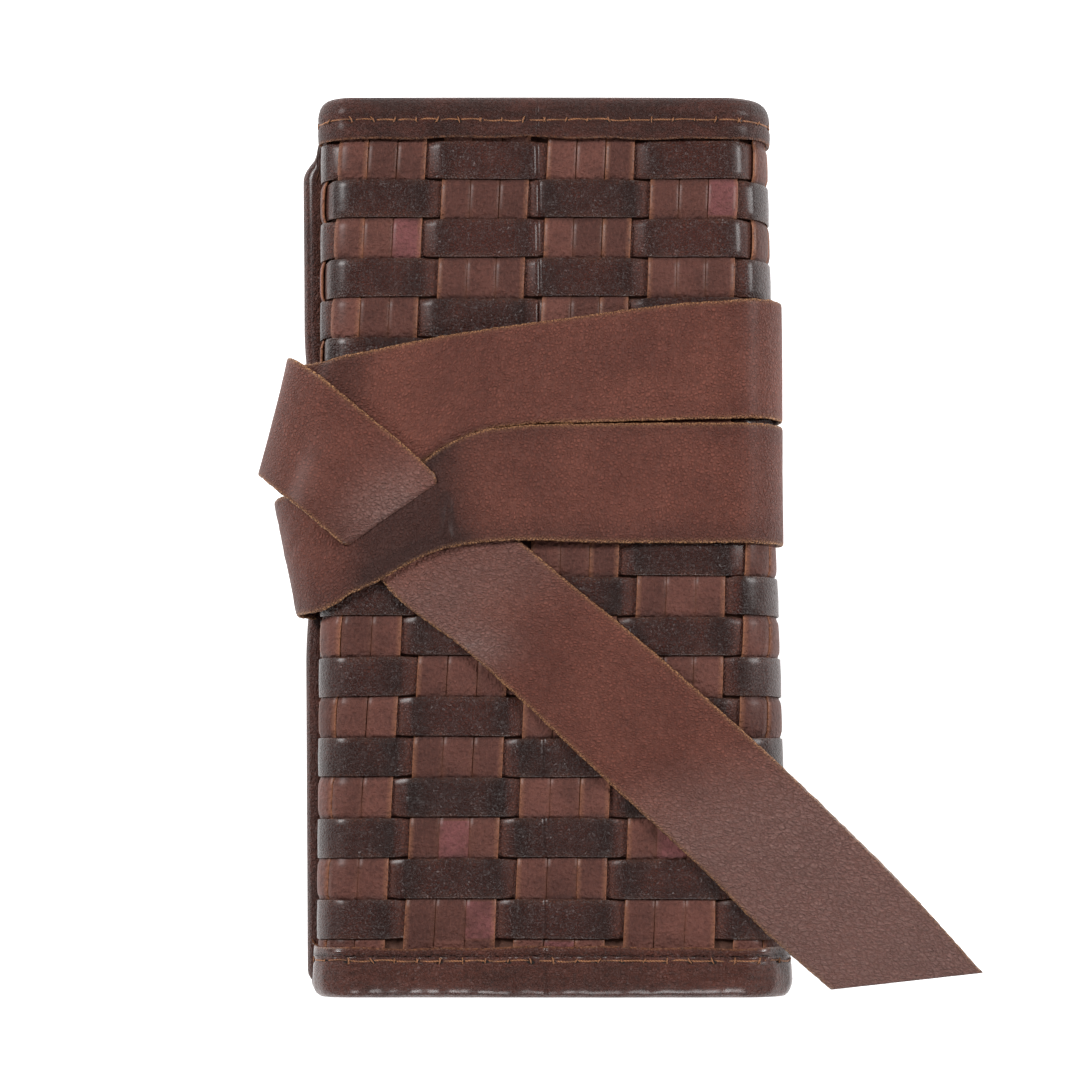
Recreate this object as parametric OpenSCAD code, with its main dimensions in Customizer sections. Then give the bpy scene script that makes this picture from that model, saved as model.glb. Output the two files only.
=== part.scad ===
// Brush roll case of woven leather strips, rolled flat and closed with a long leather tie.
// +Y runs along the roll to its top end, +Z out of the front face, +X to the side the tie's tail leaves.
// The origin is under the middle of the whole object, on the surface that it lies on.

/* [Roll] */
// Width of the rolled case across its woven sides
roll_w = 116; // [112:1:122]
// Length of the case from end binding to end binding
roll_l = 226; // [222:2:230]
// Thickness of the rolled case over its end bindings
roll_t = 30.6; // [30:0.2:32]
// How far the outer end reaches past the middle of the back
outer_reach = 60; // [59:0.5:60]
// Flat width of the short inner panel
inner_w = 44; // [36:1:46]

/* [Weave] */
// Spacing of the weft strips along the roll
weft_pitch = 10; // [9.8:0.1:10]
// Number of weft strips
weft_rows = 20; // [18:1:20]
// Width of one weft strip
weft_w = 8.8; // [8:0.1:8.8]
// Width of one woven block of three warp strips
block_w = 26.7; // [26.4:0.1:27]
// Width of one warp strip
warp_w = 7.2; // [6.6:0.1:7.3]
// Warp strips in one block
block_strips = 3; // [2:1:3]
// Thickness of a woven strip
strip_t = 0.6; // [0.5:0.05:0.6]

/* [Edges] */
// Width of the top binding
top_bind_w = 10.8; // [10:0.1:11]
// Width of the bottom binding
bottom_bind_w = 12.4; // [11:0.1:12.4]
// Width of the bindings on the outer and inner ends
end_bind_w = 10; // [8:0.5:10]
// Leather thickness of the bindings
bind_t = 1.2; // [1:0.1:1.2]
// Spacing of the binding stitches
stitch_pitch = 5.5; // [5:0.5:8]
// Length of one binding stitch
stitch_l = 3.8; // [3:0.1:4]

/* [Pockets] */
// Height of the brush pockets above the bottom binding
pocket_h = 120; // [90:5:140]
// Spacing of the seams between two pockets
pocket_pitch = 18; // [14:1:22]
// Thickness of lining and pocket leather
sheet_t = 0.8; // [0.6:0.1:0.8]

/* [Tie] */
// Width of the tie
tie_w = 27.5; // [26:0.5:28]
// Thickness of the tie
tie_t = 1; // [0.8:0.1:1]
// Length of the tail on its short side
tail_l = 135; // [120:5:140]
// How much longer the tail is on its long side
tail_slant = 25.6; // [10:0.2:28]
// Angle of the tail below the crosswise direction
tail_angle = 41.4; // [38:0.2:44]

/* [Hidden] */
$fn = 96;
// depths below the outer face of the end bindings
weft_over = 2.6;
warp_depth = 3.3;
weft_under = 4;
lining_depth = 4.7;
pocket_depth = 5.7;
inner_layer = 5.6;
sheet_depth = 6.8;
groove_depth = 0.5;
groove_w = 1;
gap = 0.1;

// right and left bends of the roll
bend_r = roll_t / 2;
right_x = roll_w / 2 - (bend_r - weft_over);
left_r = 11.6;
left_x = -roll_w / 2 + left_r - weft_over;
left_z = roll_t - left_r;
inner_z = left_z - left_r;
inner_end = left_x + inner_w;
cut_angle = 0.4;
first_block = -roll_w / 2 - 2.2;
margin = 2.2;

strip_pitch = warp_w + 0.3;
block_margin = (block_w - block_strips * strip_pitch + 0.3) / 2;

// ends of the weave
weave_low = -roll_l / 2 + bottom_bind_w;
weave_start = weave_low + (roll_l - bottom_bind_w - top_bind_w - weft_rows * weft_pitch) / 2;
strip_end = roll_l / 2 - 1.6;
stitch_top = roll_l / 2 - 6;
stitch_bottom = -roll_l / 2 + 9;
thread_t = 0.35;
thread_w = 0.8;

// tie layers and the places where it turns
layer_low = 28.3;
layer_mid = 29.5;
layer_high = 30.8;
back_inner = 1.3;
back_outer = 0.2;
tie_x = -58;
tie_r = bend_r - back_inner;
tab_z = (layer_high + tie_t + back_outer) / 2;
tab_r = (layer_high + tie_t - back_outer) / 2;
ramp_start = 37;
upper_y = 31.4;
lower_y = 1;
left_y = 19;
sewn_y = -16;
slit_a = [-49, 2.5];
slit_b = [-28.2, 15.8];
slit_w = 2.4;
slit_angle = atan2(slit_b[1] - slit_a[1], slit_b[0] - slit_a[0]);
slit_l = norm(slit_b - slit_a);
tail_root = [-23.5, -9.5];
droop_start = 110;
droop_r = 120;
tail_dir = [cos(tail_angle), -sin(tail_angle)];
tail_side = [sin(tail_angle), cos(tail_angle)];
tip_x = tail_root[0] + (tail_l + tail_slant) * tail_dir[0] + tie_w / 2 * tail_side[0];
middle_x = (tip_x + tie_x - tab_r) / 2;

lining_color = "#5a3a32";
warp_color = "#633c34";
weft_color = "#3c2623";
bind_color = "#482c28";
tie_color = "#6a4037";
thread_color = "#a0683c";

// a 2D profile is drawn with x as depth below the outer face and y along the roll

// runs a profile along X where the outer face looks up
module face_up(x0, x1, z) {
    translate([x0, 0, z]) rotate([0, 90, 0]) linear_extrude(x1 - x0) children();
}

// runs a profile along X where the outer face looks down
module face_down(x0, x1, z) {
    translate([x0, 0, z]) mirror([0, 0, 1]) rotate([0, 90, 0]) linear_extrude(x1 - x0) children();
}

// turns a profile about an axis along Y, starting at the angle where it meets a flat stretch
module turn(x, z, r, a0, a1) {
    translate([x, 0, z]) rotate([90, 0, 0]) rotate([0, 0, a0]) rotate_extrude(angle = a1 - a0)
        translate([r, 0]) rotate(180) children();
}

module right_turn(a0, a1) {
    turn(right_x, bend_r, bend_r, a0, a1) children();
}

module left_turn(a0, a1) {
    turn(left_x, left_z, left_r, a0, a1) children();
}

// runs a profile through one section of the case
module through(section, outer_x = -outer_reach + 1.6, inner_x = inner_end - 1.6) {
    if (section == "back") {
        face_down(outer_x, right_x, 0) children();
        right_turn(-90, -45 - cut_angle) children();
    }
    if (section == "right_edge") right_turn(-45 + cut_angle, 45 - cut_angle) children();
    if (section == "front") {
        right_turn(90, 45 + cut_angle) children();
        face_up(left_x, right_x, roll_t) children();
        left_turn(90, 135 - cut_angle) children();
    }
    if (section == "left_edge") left_turn(135 + cut_angle, 225 - cut_angle) children();
    if (section == "inner") {
        left_turn(270, 225 + cut_angle) children();
        face_down(left_x, inner_x, inner_z) children();
    }
}

module lining(section) {
    color(lining_color) through(section)
        translate([lining_depth, -strip_end]) square([sheet_t, 2 * strip_end]);
}

// warp strips between two places on a flat panel
module flat_warp(x0, x1) {
    for (block = [0:5], strip = [0:block_strips - 1]) {
        x = first_block + block_margin + block * block_w + strip * strip_pitch;
        if (x > x0 + margin && x + warp_w < x1 - margin)
            translate([x, -strip_end]) square([warp_w, 2 * strip_end]);
    }
}

// warp strips laid round a bend
module bent_warp(a0, a1, r) {
    step = strip_pitch / r * 180 / PI;
    count = floor((a1 - a0) / step);
    for (strip = [0:count - 1]) {
        start = (a0 + a1 - count * step) / 2 + strip * step;
        rotate([0, 0, start]) rotate_extrude(angle = step * warp_w / strip_pitch)
            translate([r, -strip_end]) square([strip_t, 2 * strip_end]);
    }
}

module right_warp(a0, a1) {
    translate([right_x, 0, bend_r]) rotate([90, 0, 0]) bent_warp(a0, a1, bend_r - warp_depth - strip_t);
}

module left_warp(a0, a1) {
    translate([left_x, 0, left_z]) rotate([90, 0, 0]) bent_warp(a0, a1, left_r - warp_depth - strip_t);
}

module warp_strips(section) {
    color(warp_color) {
        if (section == "back") {
            translate([0, 0, warp_depth]) linear_extrude(strip_t)
                flat_warp(-outer_reach + end_bind_w, right_x);
            right_warp(-90, -45 - cut_angle);
        }
        if (section == "right_edge") right_warp(-45 + cut_angle, 45 - cut_angle);
        if (section == "front") {
            right_warp(45 + cut_angle, 90);
            translate([0, 0, roll_t - warp_depth - strip_t]) linear_extrude(strip_t) flat_warp(left_x, right_x);
            left_warp(90, 135 - cut_angle);
        }
        if (section == "left_edge") left_warp(135 + cut_angle, 225 - cut_angle);
        if (section == "inner") {
            left_warp(225 + cut_angle, 270);
            translate([0, 0, inner_z + warp_depth]) linear_extrude(strip_t)
                flat_warp(left_x, inner_end - end_bind_w);
        }
    }
}

// the places where a weft strip steps over or under, with the depth before and after each
function weft_cells(x0, x1, row) = concat(
    [[x0, 0]],
    [for (block = [0:5]) let (x = first_block + block * block_w)
        if (x > x0 + 2 * margin && x < x1 - 2 * margin) [x, (block + row) % 2]]
);
function weft_depth(level) = level == 0 ? weft_over : weft_under;
function weft_steps(cells, x0, x1) = let (count = len(cells), first = 1 - cells[1][1])
    concat(
        first == 0 ? [] : [[x0 + margin / 2 + 0.4, 0, 1]],
        [for (k = [1:count - 1]) [cells[k][0], 1 - cells[k][1], cells[k][1]]],
        cells[count - 1][1] == 0 ? [] : [[x1 - margin / 2 - 0.4, 1, 0]]
    );

// side view of one weft strip, x along the strip and y as depth
module weft_profile(x0, x1, row) {
    steps = weft_steps(weft_cells(x0, x1, row), x0, x1);
    h = strip_t / 2;
    polygon(concat(
        [[x0, weft_depth(0)]],
        [for (s = steps, after = [0, 1]) [s[0] + (s[2] - s[1]) * h, weft_depth(s[1 + after])]],
        [[x1, weft_depth(0)], [x1, weft_depth(0) + strip_t]],
        [for (i = [len(steps) - 1:-1:0], after = [1, 0]) let (s = steps[i])
            [s[0] - (s[2] - s[1]) * h, weft_depth(s[1 + after]) + strip_t]],
        [[x0, weft_depth(0) + strip_t]]
    ));
}

module flat_weft(x0, x1, row) {
    rotate([90, 0, 0]) linear_extrude(weft_w) weft_profile(x0, x1, row);
}

module weft_strips(section) {
    color(weft_color) for (row = [0:weft_rows - 1]) {
        y = weave_start + row * weft_pitch + (weft_pitch - weft_w) / 2;
        if (section == "back") {
            translate([0, y + weft_w, 0]) flat_weft(-outer_reach + end_bind_w, right_x, row);
            right_turn(-90, -45 - cut_angle) translate([weft_over, y]) square([strip_t, weft_w]);
        }
        if (section == "right_edge")
            right_turn(-45 + cut_angle, 45 - cut_angle) translate([weft_over, y]) square([strip_t, weft_w]);
        if (section == "front") {
            right_turn(90, 45 + cut_angle) translate([weft_over, y]) square([strip_t, weft_w]);
            translate([0, y + weft_w, roll_t]) mirror([0, 0, 1]) flat_weft(left_x, right_x, row);
            left_turn(90, 135 - cut_angle) translate([weft_over, y]) square([strip_t, weft_w]);
        }
        if (section == "left_edge")
            left_turn(135 + cut_angle, 225 - cut_angle) translate([weft_over, y]) square([strip_t, weft_w]);
        if (section == "inner") {
            left_turn(270, 225 + cut_angle) translate([weft_over, y]) square([strip_t, weft_w]);
            translate([0, y + weft_w, inner_z]) flat_weft(left_x, inner_end - end_bind_w, row);
        }
    }
}

// folded leather binding over the end of the sheet, with a shallow groove for the thread
module binding_profile(w, groove) {
    difference() {
        translate([0, roll_l / 2 - w]) square([sheet_depth, w]);
        translate([weft_over - gap, roll_l / 2 - w - 1]) square([inner_layer - weft_over + gap, w - 0.4]);
        translate([-1, groove - groove_w / 2]) square([1 + groove_depth, groove_w]);
    }
}

module top_binding(section) {
    color(bind_color) through(section, -outer_reach, inner_end) binding_profile(top_bind_w, stitch_top);
}

module bottom_binding(section) {
    color(bind_color) through(section, -outer_reach, inner_end)
        mirror([0, 1]) binding_profile(bottom_bind_w, -stitch_bottom);
}

// one row of stitches along a flat panel and round its bends
module thread_profile(y) {
    translate([gap, y - thread_w / 2]) square([thread_t, thread_w]);
}

module flat_stitches(x0, x1, y) {
    count = floor((x1 - x0) / stitch_pitch);
    start = (x0 + x1 - (count - 1) * stitch_pitch - stitch_l) / 2;
    for (k = [0:count - 1])
        translate([start + k * stitch_pitch, y - thread_w / 2, gap]) cube([stitch_l, thread_w, thread_t]);
}

module stitching(section) {
    color(thread_color) for (y = [stitch_bottom, stitch_top]) {
        if (section == "back") {
            flat_stitches(-outer_reach, right_x, y);
            right_turn(-82, -64) thread_profile(y);
        }
        if (section == "right_edge") for (a = [-36, -9, 18]) right_turn(a, a + 18) thread_profile(y);
        if (section == "front") {
            right_turn(64, 82) thread_profile(y);
            translate([0, 0, roll_t]) mirror([0, 0, 1]) flat_stitches(left_x, right_x, y);
            left_turn(100, 122) thread_profile(y);
        }
        if (section == "left_edge") for (a = [142, 182]) left_turn(a, a + 22) thread_profile(y);
        if (section == "inner") {
            left_turn(238, 260) thread_profile(y);
            translate([0, 0, inner_z]) flat_stitches(left_x, inner_end, y);
        }
    }
}

// folded edge on the end of the sheet that closes the roll, or on the end inside it
module end_binding(x, side, z) {
    low = weave_low + gap;
    high = roll_l / 2 - top_bind_w - gap;
    color(bind_color) translate([x, low, z]) mirror([side == 1 ? 1 : 0, 0, 0]) difference() {
        translate([0, 0, weft_over]) cube([end_bind_w - 0.4, high - low, sheet_depth - weft_over]);
        translate([1, -1, weft_over + 1]) cube([end_bind_w, high - low + 2, sheet_depth - weft_over - 2]);
    }
}

// open pockets for the brushes, on the inner face of a panel
module pocket(x0, x1) {
    translate([x0, weave_low + gap, 0]) cube([x1 - x0, pocket_h, sheet_t]);
}

module pocket_hem(x0, x1) {
    translate([x0, weave_low + gap + pocket_h, 0]) cube([x1 - x0, 6, 1]);
}

module pocket_seams(x0, x1) {
    count = floor((x1 - x0) / pocket_pitch);
    start = (x0 + x1 - (count - 1) * pocket_pitch) / 2;
    for (k = [0:count - 1], y = [0:8:pocket_h - 8])
        translate([start + k * pocket_pitch - 0.4, weave_low + 2 + y, 0]) cube([0.8, 5.5, 0.3]);
}

// places a pocket piece on the inner face of the back panel
module on_back(rise = 0) {
    translate([0, 0, pocket_depth + rise]) children();
}

// places a pocket piece on the inner face of the front panel
module on_front(rise = 0) {
    translate([0, 0, roll_t - pocket_depth - rise]) mirror([0, 0, 1]) children();
}

// half turn of the tie round one side of the roll
module tie_turn(x, z, r, a0, a1, y, w = tie_w) {
    turn(x, z, r, a0, a1) translate([0, y]) square([tie_t, w]);
}

// flat stretch of the tie between two crosswise places, which may climb along the roll
module tie_span(x0, x1, y0, y1, z, w0 = tie_w, w1 = tie_w) {
    translate([0, 0, z]) linear_extrude(tie_t)
        polygon([[x0, y0], [x1, y1], [x1, y1 + w1], [x0, y0 + w0]]);
}

// short slope of the tie from one layer to another
module tie_ramp(x0, x1, z0, z1, y, w = tie_w) {
    translate([0, y + w, 0]) rotate([90, 0, 0]) linear_extrude(w)
        polygon([[x0, z0], [x1, z1], [x1, z1 + tie_t], [x0, z0 + tie_t]]);
}

module tie_sewn_end() {
    color(tie_color) {
        tie_turn(tie_x, bend_r, tie_r, 90, 270, sewn_y);
        tie_span(tie_x, tie_x + 16, sewn_y, sewn_y, back_inner);
    }
}

// a strip along the slit, used for the slit and for the strap that goes through it
module slit_bar(length, width, z, h) {
    translate([slit_a[0], slit_a[1], z]) rotate([0, 0, slit_angle])
        translate([(slit_l - length) / 2, -width / 2, 0]) cube([length, width, h]);
}

module tie_lower_wrap() {
    color(tie_color) difference() {
        union() {
            tie_ramp(tie_x, tie_x + 4, layer_low, layer_mid, sewn_y);
            tie_span(tie_x + 4, -28, sewn_y, -4.5, layer_mid);
            tie_span(-28, ramp_start, -4.5, lower_y, layer_mid, tie_w, tie_w);
            tie_ramp(ramp_start, right_x, layer_mid, layer_low, lower_y);
            tie_turn(right_x, bend_r, tie_r, -90, 90, lower_y);
        }
        slit_bar(slit_l + 1.6, slit_w, layer_mid - 1, tie_t + 2);
    }
}

module tie_first_back_crossing() {
    color(tie_color) tie_span(tie_x, right_x, left_y, lower_y, back_inner);
}

module tie_upper_wrap() {
    color(tie_color) {
        tie_turn(tie_x, bend_r, tie_r, 90, 270, left_y);
        tie_span(tie_x, ramp_start, left_y + 5, upper_y, layer_low, tie_w - 5, tie_w);
        tie_span(ramp_start, right_x, upper_y, upper_y, layer_low);
        tie_turn(right_x, bend_r, tie_r, -90, 90, upper_y);
    }
}

module tie_second_back_crossing() {
    color(tie_color) {
        tie_span(tie_x, ramp_start, left_y, upper_y, back_outer);
        tie_ramp(ramp_start, right_x, back_outer, back_inner, upper_y);
    }
}

module tie_tab() {
    color(tie_color) {
        tie_turn(tie_x, tab_z, tab_r, 90, 270, left_y);
        translate([0, 0, layer_high]) linear_extrude(tie_t)
            polygon([[tie_x, left_y + tie_w], slit_b + [-0.5, 2], slit_b, slit_a, [tie_x, left_y]]);
    }
}

module tie_slit_pass() {
    pass_t = 0.8;
    edge = tail_root + 1.5 * tail_dir;
    color(tie_color) {
        slit_bar(slit_l, pass_t, 28.2, layer_high - 28.2);
        translate([0, 0, 28.2]) linear_extrude(tie_t) polygon([
            slit_b,
            slit_a,
            edge - tie_w / 2 * tail_side,
            edge + tie_w / 2 * tail_side
        ]);
    }
}

// height that the tail has dropped by at a distance along it
function droop(x) = x < droop_start ? 0 : pow(x - droop_start, 2) / (2 * droop_r);
module tie_tail() {
    steps = 8;
    start = 1.7;
    run = tail_l + tail_slant;
    xs = concat([start], [for (k = [0:steps]) droop_start + k * (run - droop_start) / steps]);
    color(tie_color) translate([tail_root[0], tail_root[1], 28.2]) rotate([0, 0, -tail_angle]) difference() {
        translate([0, tie_w / 2, 0]) rotate([90, 0, 0]) linear_extrude(tie_w) polygon(concat(
            [for (x = xs) [x, -droop(x)]],
            [for (k = [len(xs) - 1:-1:0]) [xs[k], tie_t - droop(xs[k])]]
        ));
        translate([0, 0, -30]) linear_extrude(60)
            polygon([[tail_l, -tie_w / 2], [run, tie_w / 2], [run + 30, tie_w / 2 + 1],
                [run + 30, -tie_w], [tail_l - tail_slant / tie_w, -tie_w / 2 - 1]]);
    }
}

// moves the origin under the middle of the whole object
module place() {
    translate([-middle_x, 0, 0]) children();
}

place() lining("back");  // back_lining
place() lining("right_edge");  // right_edge_lining
place() lining("front");  // front_lining
place() lining("left_edge");  // left_edge_lining
place() lining("inner");  // inner_lining
place() warp_strips("back");  // back_warp_strips
place() warp_strips("right_edge");  // right_edge_warp_strips
place() warp_strips("front");  // front_warp_strips
place() warp_strips("left_edge");  // left_edge_warp_strips
place() warp_strips("inner");  // inner_warp_strips
place() weft_strips("back");  // back_weft_strips
place() weft_strips("right_edge");  // right_edge_weft_strips
place() weft_strips("front");  // front_weft_strips
place() weft_strips("left_edge");  // left_edge_weft_strips
place() weft_strips("inner");  // inner_weft_strips
place() top_binding("back");  // back_top_binding
place() top_binding("right_edge");  // right_edge_top_binding
place() top_binding("front");  // front_top_binding
place() top_binding("left_edge");  // left_edge_top_binding
place() top_binding("inner");  // inner_top_binding
place() bottom_binding("back");  // back_bottom_binding
place() bottom_binding("right_edge");  // right_edge_bottom_binding
place() bottom_binding("front");  // front_bottom_binding
place() bottom_binding("left_edge");  // left_edge_bottom_binding
place() bottom_binding("inner");  // inner_bottom_binding
place() stitching("back");  // back_stitching
place() stitching("right_edge");  // right_edge_stitching
place() stitching("front");  // front_stitching
place() stitching("left_edge");  // left_edge_stitching
place() stitching("inner");  // inner_stitching
place() end_binding(-outer_reach, 0, 0);  // outer_end_binding
place() end_binding(inner_end, 1, inner_z);  // inner_end_binding
place() color(lining_color) on_back() pocket(-48, right_x - 3);  // back_pocket
place() color(lining_color) on_front() pocket(left_x + 3, right_x - 3);  // front_pocket
place() color(bind_color) on_back() pocket_hem(-48, right_x - 3);  // back_pocket_hem
place() color(bind_color) on_front() pocket_hem(left_x + 3, right_x - 3);  // front_pocket_hem
place() color(thread_color) on_back(sheet_t) pocket_seams(-48, right_x - 3);  // back_pocket_seams
place() color(thread_color) on_front(sheet_t) pocket_seams(left_x + 3, right_x - 3);  // front_pocket_seams
place() tie_sewn_end();
place() tie_lower_wrap();
place() tie_first_back_crossing();
place() tie_upper_wrap();
place() tie_second_back_crossing();
place() tie_tab();
place() tie_slit_pass();
place() tie_tail();
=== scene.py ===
"""Brush roll case of woven leather: the finished look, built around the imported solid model."""

import math
import random
from collections import namedtuple

import bmesh
import bpy
import numpy as np
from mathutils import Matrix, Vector, noise


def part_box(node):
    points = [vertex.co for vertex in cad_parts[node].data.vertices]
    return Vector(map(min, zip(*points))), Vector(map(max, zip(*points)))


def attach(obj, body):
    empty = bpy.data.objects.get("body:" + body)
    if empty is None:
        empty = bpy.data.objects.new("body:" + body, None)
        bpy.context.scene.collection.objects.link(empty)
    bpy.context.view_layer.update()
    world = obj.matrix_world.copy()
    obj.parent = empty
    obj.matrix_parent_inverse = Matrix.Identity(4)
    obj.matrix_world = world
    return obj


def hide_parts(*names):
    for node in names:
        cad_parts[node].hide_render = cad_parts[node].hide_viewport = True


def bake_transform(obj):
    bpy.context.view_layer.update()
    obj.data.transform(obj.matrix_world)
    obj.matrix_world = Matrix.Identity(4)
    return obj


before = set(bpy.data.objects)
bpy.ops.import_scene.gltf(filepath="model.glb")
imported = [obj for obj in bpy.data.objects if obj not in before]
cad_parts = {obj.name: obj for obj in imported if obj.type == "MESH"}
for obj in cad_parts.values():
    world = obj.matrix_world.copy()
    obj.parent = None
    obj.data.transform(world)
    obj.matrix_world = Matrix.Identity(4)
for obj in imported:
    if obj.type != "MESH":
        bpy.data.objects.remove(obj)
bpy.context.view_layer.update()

bl_info = {
    "name": "Woven Brush Roll",
    "version": (1, 0, 0),
    "blender": (4, 5, 0),
    "location": "View3D > Sidebar > Brush Roll",
    "description": "Makes the leather weave, bindings, stitching, pockets and tie of a brush roll case",
    "category": "Object",
}

MM = 0.001

# ------------------------------------------------------------------ places taken from the frame
ROLL_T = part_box("front_top_binding")[1].z
BEND_R = ROLL_T / 2
ROLL_HALF_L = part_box("front_top_binding")[1].y
RIGHT_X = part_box("right_edge_top_binding")[1].x - BEND_R
INNER_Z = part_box("inner_top_binding")[0].z
LEFT_R = (ROLL_T - INNER_Z) / 2
LEFT_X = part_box("left_edge_top_binding")[0].x + LEFT_R
OUTER_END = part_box("back_top_binding")[0].x
INNER_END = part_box("inner_top_binding")[1].x
MIDDLE_X = (RIGHT_X + BEND_R + LEFT_X - LEFT_R) / 2
TOP_BIND = ROLL_HALF_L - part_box("front_top_binding")[0].y
BOTTOM_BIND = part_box("front_bottom_binding")[1].y + ROLL_HALF_L

# the woven sheet's middle lies this far below the outer face of the solid end bindings
SHEET_DEPTH = 3.7 * MM
RIGHT_R = BEND_R - SHEET_DEPTH
# the roll is a little wider at its bottom end
TAPER = 0.016
INNER_R = LEFT_R - SHEET_DEPTH

# distances along the sheet, from its outer end to its inner end
BACK_END = RIGHT_X - OUTER_END
FRONT_START = BACK_END + math.pi * RIGHT_R
FRONT_END = FRONT_START + RIGHT_X - LEFT_X
INNER_START = FRONT_END + math.pi * INNER_R
SHEET_END = INNER_START + INNER_END - LEFT_X
RIGHT_MID = (BACK_END + FRONT_START) / 2
FRONT_MID = (FRONT_START + FRONT_END) / 2
LEFT_MID = (FRONT_END + INNER_START) / 2
# a border between two woven blocks, left of the middle of the front
FIRST_BORDER = FRONT_START + RIGHT_X - MIDDLE_X + 33.4 * MM

# the four stretches of the sheet. Each lies across one joint between two bodies and stands for the solids of
# some sections
Stretch = namedtuple("Stretch", "name low high body_a body_b bend_from bend_to sections")
STRETCHES = (
    Stretch("outer", 0.0, RIGHT_MID, "back_panel", "right_edge", BACK_END, RIGHT_MID, ("back",)),
    Stretch("right", RIGHT_MID, FRONT_MID, "right_edge", "front_panel", RIGHT_MID, FRONT_START,
            ("right_edge", "front")),
    Stretch("left", FRONT_MID, LEFT_MID, "front_panel", "left_edge", FRONT_END, LEFT_MID, ()),
    Stretch("inner", LEFT_MID, SHEET_END, "left_edge", "inner_panel", LEFT_MID, INNER_START,
            ("left_edge", "inner")),
)


def smooth(value):
    """Smooth step from 0 to 1 on arrays or numbers."""
    value = np.clip(value, 0.0, 1.0)
    return value * value * (3 - 2 * value)


def bump_at(value, middle, width):
    """Soft hump of height 1 round a place."""
    return np.exp(-((value - middle) / width) ** 2)


def corner_radius(y):
    """Radius of the outer end's corners: large at the top and small at the bottom."""
    return np.where(y > 0, 9 * MM, 2.2 * MM)


def section_point(s):
    """Place and outward direction of the sheet's middle in cross-section, at distances along it."""
    s = np.asarray(s, float)
    x, z, nx, nz = (np.zeros_like(s) for _ in range(4))
    back, front, inner = s <= BACK_END, (s > FRONT_START) & (s <= FRONT_END), s > INNER_START
    right, left = (s > BACK_END) & (s <= FRONT_START), (s > FRONT_END) & (s <= INNER_START)
    x[back], z[back], nz[back] = OUTER_END + s[back], SHEET_DEPTH, -1
    x[front], z[front], nz[front] = RIGHT_X - (s[front] - FRONT_START), ROLL_T - SHEET_DEPTH, 1
    x[inner], z[inner], nz[inner] = LEFT_X + s[inner] - INNER_START, INNER_Z + SHEET_DEPTH, -1
    turn = (s[right] - BACK_END) / RIGHT_R - math.pi / 2
    nx[right], nz[right] = np.cos(turn), np.sin(turn)
    x[right], z[right] = RIGHT_X + RIGHT_R * np.cos(turn), BEND_R + RIGHT_R * np.sin(turn)
    turn = (s[left] - FRONT_END) / INNER_R + math.pi / 2
    nx[left], nz[left] = np.cos(turn), np.sin(turn)
    x[left], z[left] = LEFT_X + INNER_R * np.cos(turn), ROLL_T - LEFT_R + INNER_R * np.sin(turn)
    return x, z, nx, nz


def on_sheet(s, y, h):
    """Points at distances along the sheet, places along the roll and heights out of the sheet."""
    s, y, h = np.broadcast_arrays(np.asarray(s, float), np.asarray(y, float), np.asarray(h, float))
    corner = corner_radius(y)
    near = np.clip(corner - s, 0, corner)
    pulled = corner - np.sqrt(np.clip(corner**2 - near**2, 0, None))
    y = y * (1 - pulled * smooth((np.abs(y) / ROLL_HALF_L - 0.6) / 0.4) / ROLL_HALF_L)
    x, z, nx, nz = section_point(np.clip(s, 0, None))
    x = x + np.minimum(s, 0)
    x = x - TAPER * y * (x - LEFT_X + LEFT_R) / (RIGHT_X - LEFT_X)
    wave = 0.35 * MM * np.sin(s * 61 + y * 23) * np.sin(y * 47 + 1.3)
    tied = smooth(1 - np.abs(y - 14 * MM) / (44 * MM))
    squeeze = -0.5 * MM * tied * np.abs(nx)
    tuck = tied * smooth(1 - s / (16 * MM))
    h = h + wave * np.abs(nz) + squeeze
    return np.stack([x + nx * h + 3.2 * MM * tuck, y, z + nz * h + 1.0 * MM * tuck], axis=-1)


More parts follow.
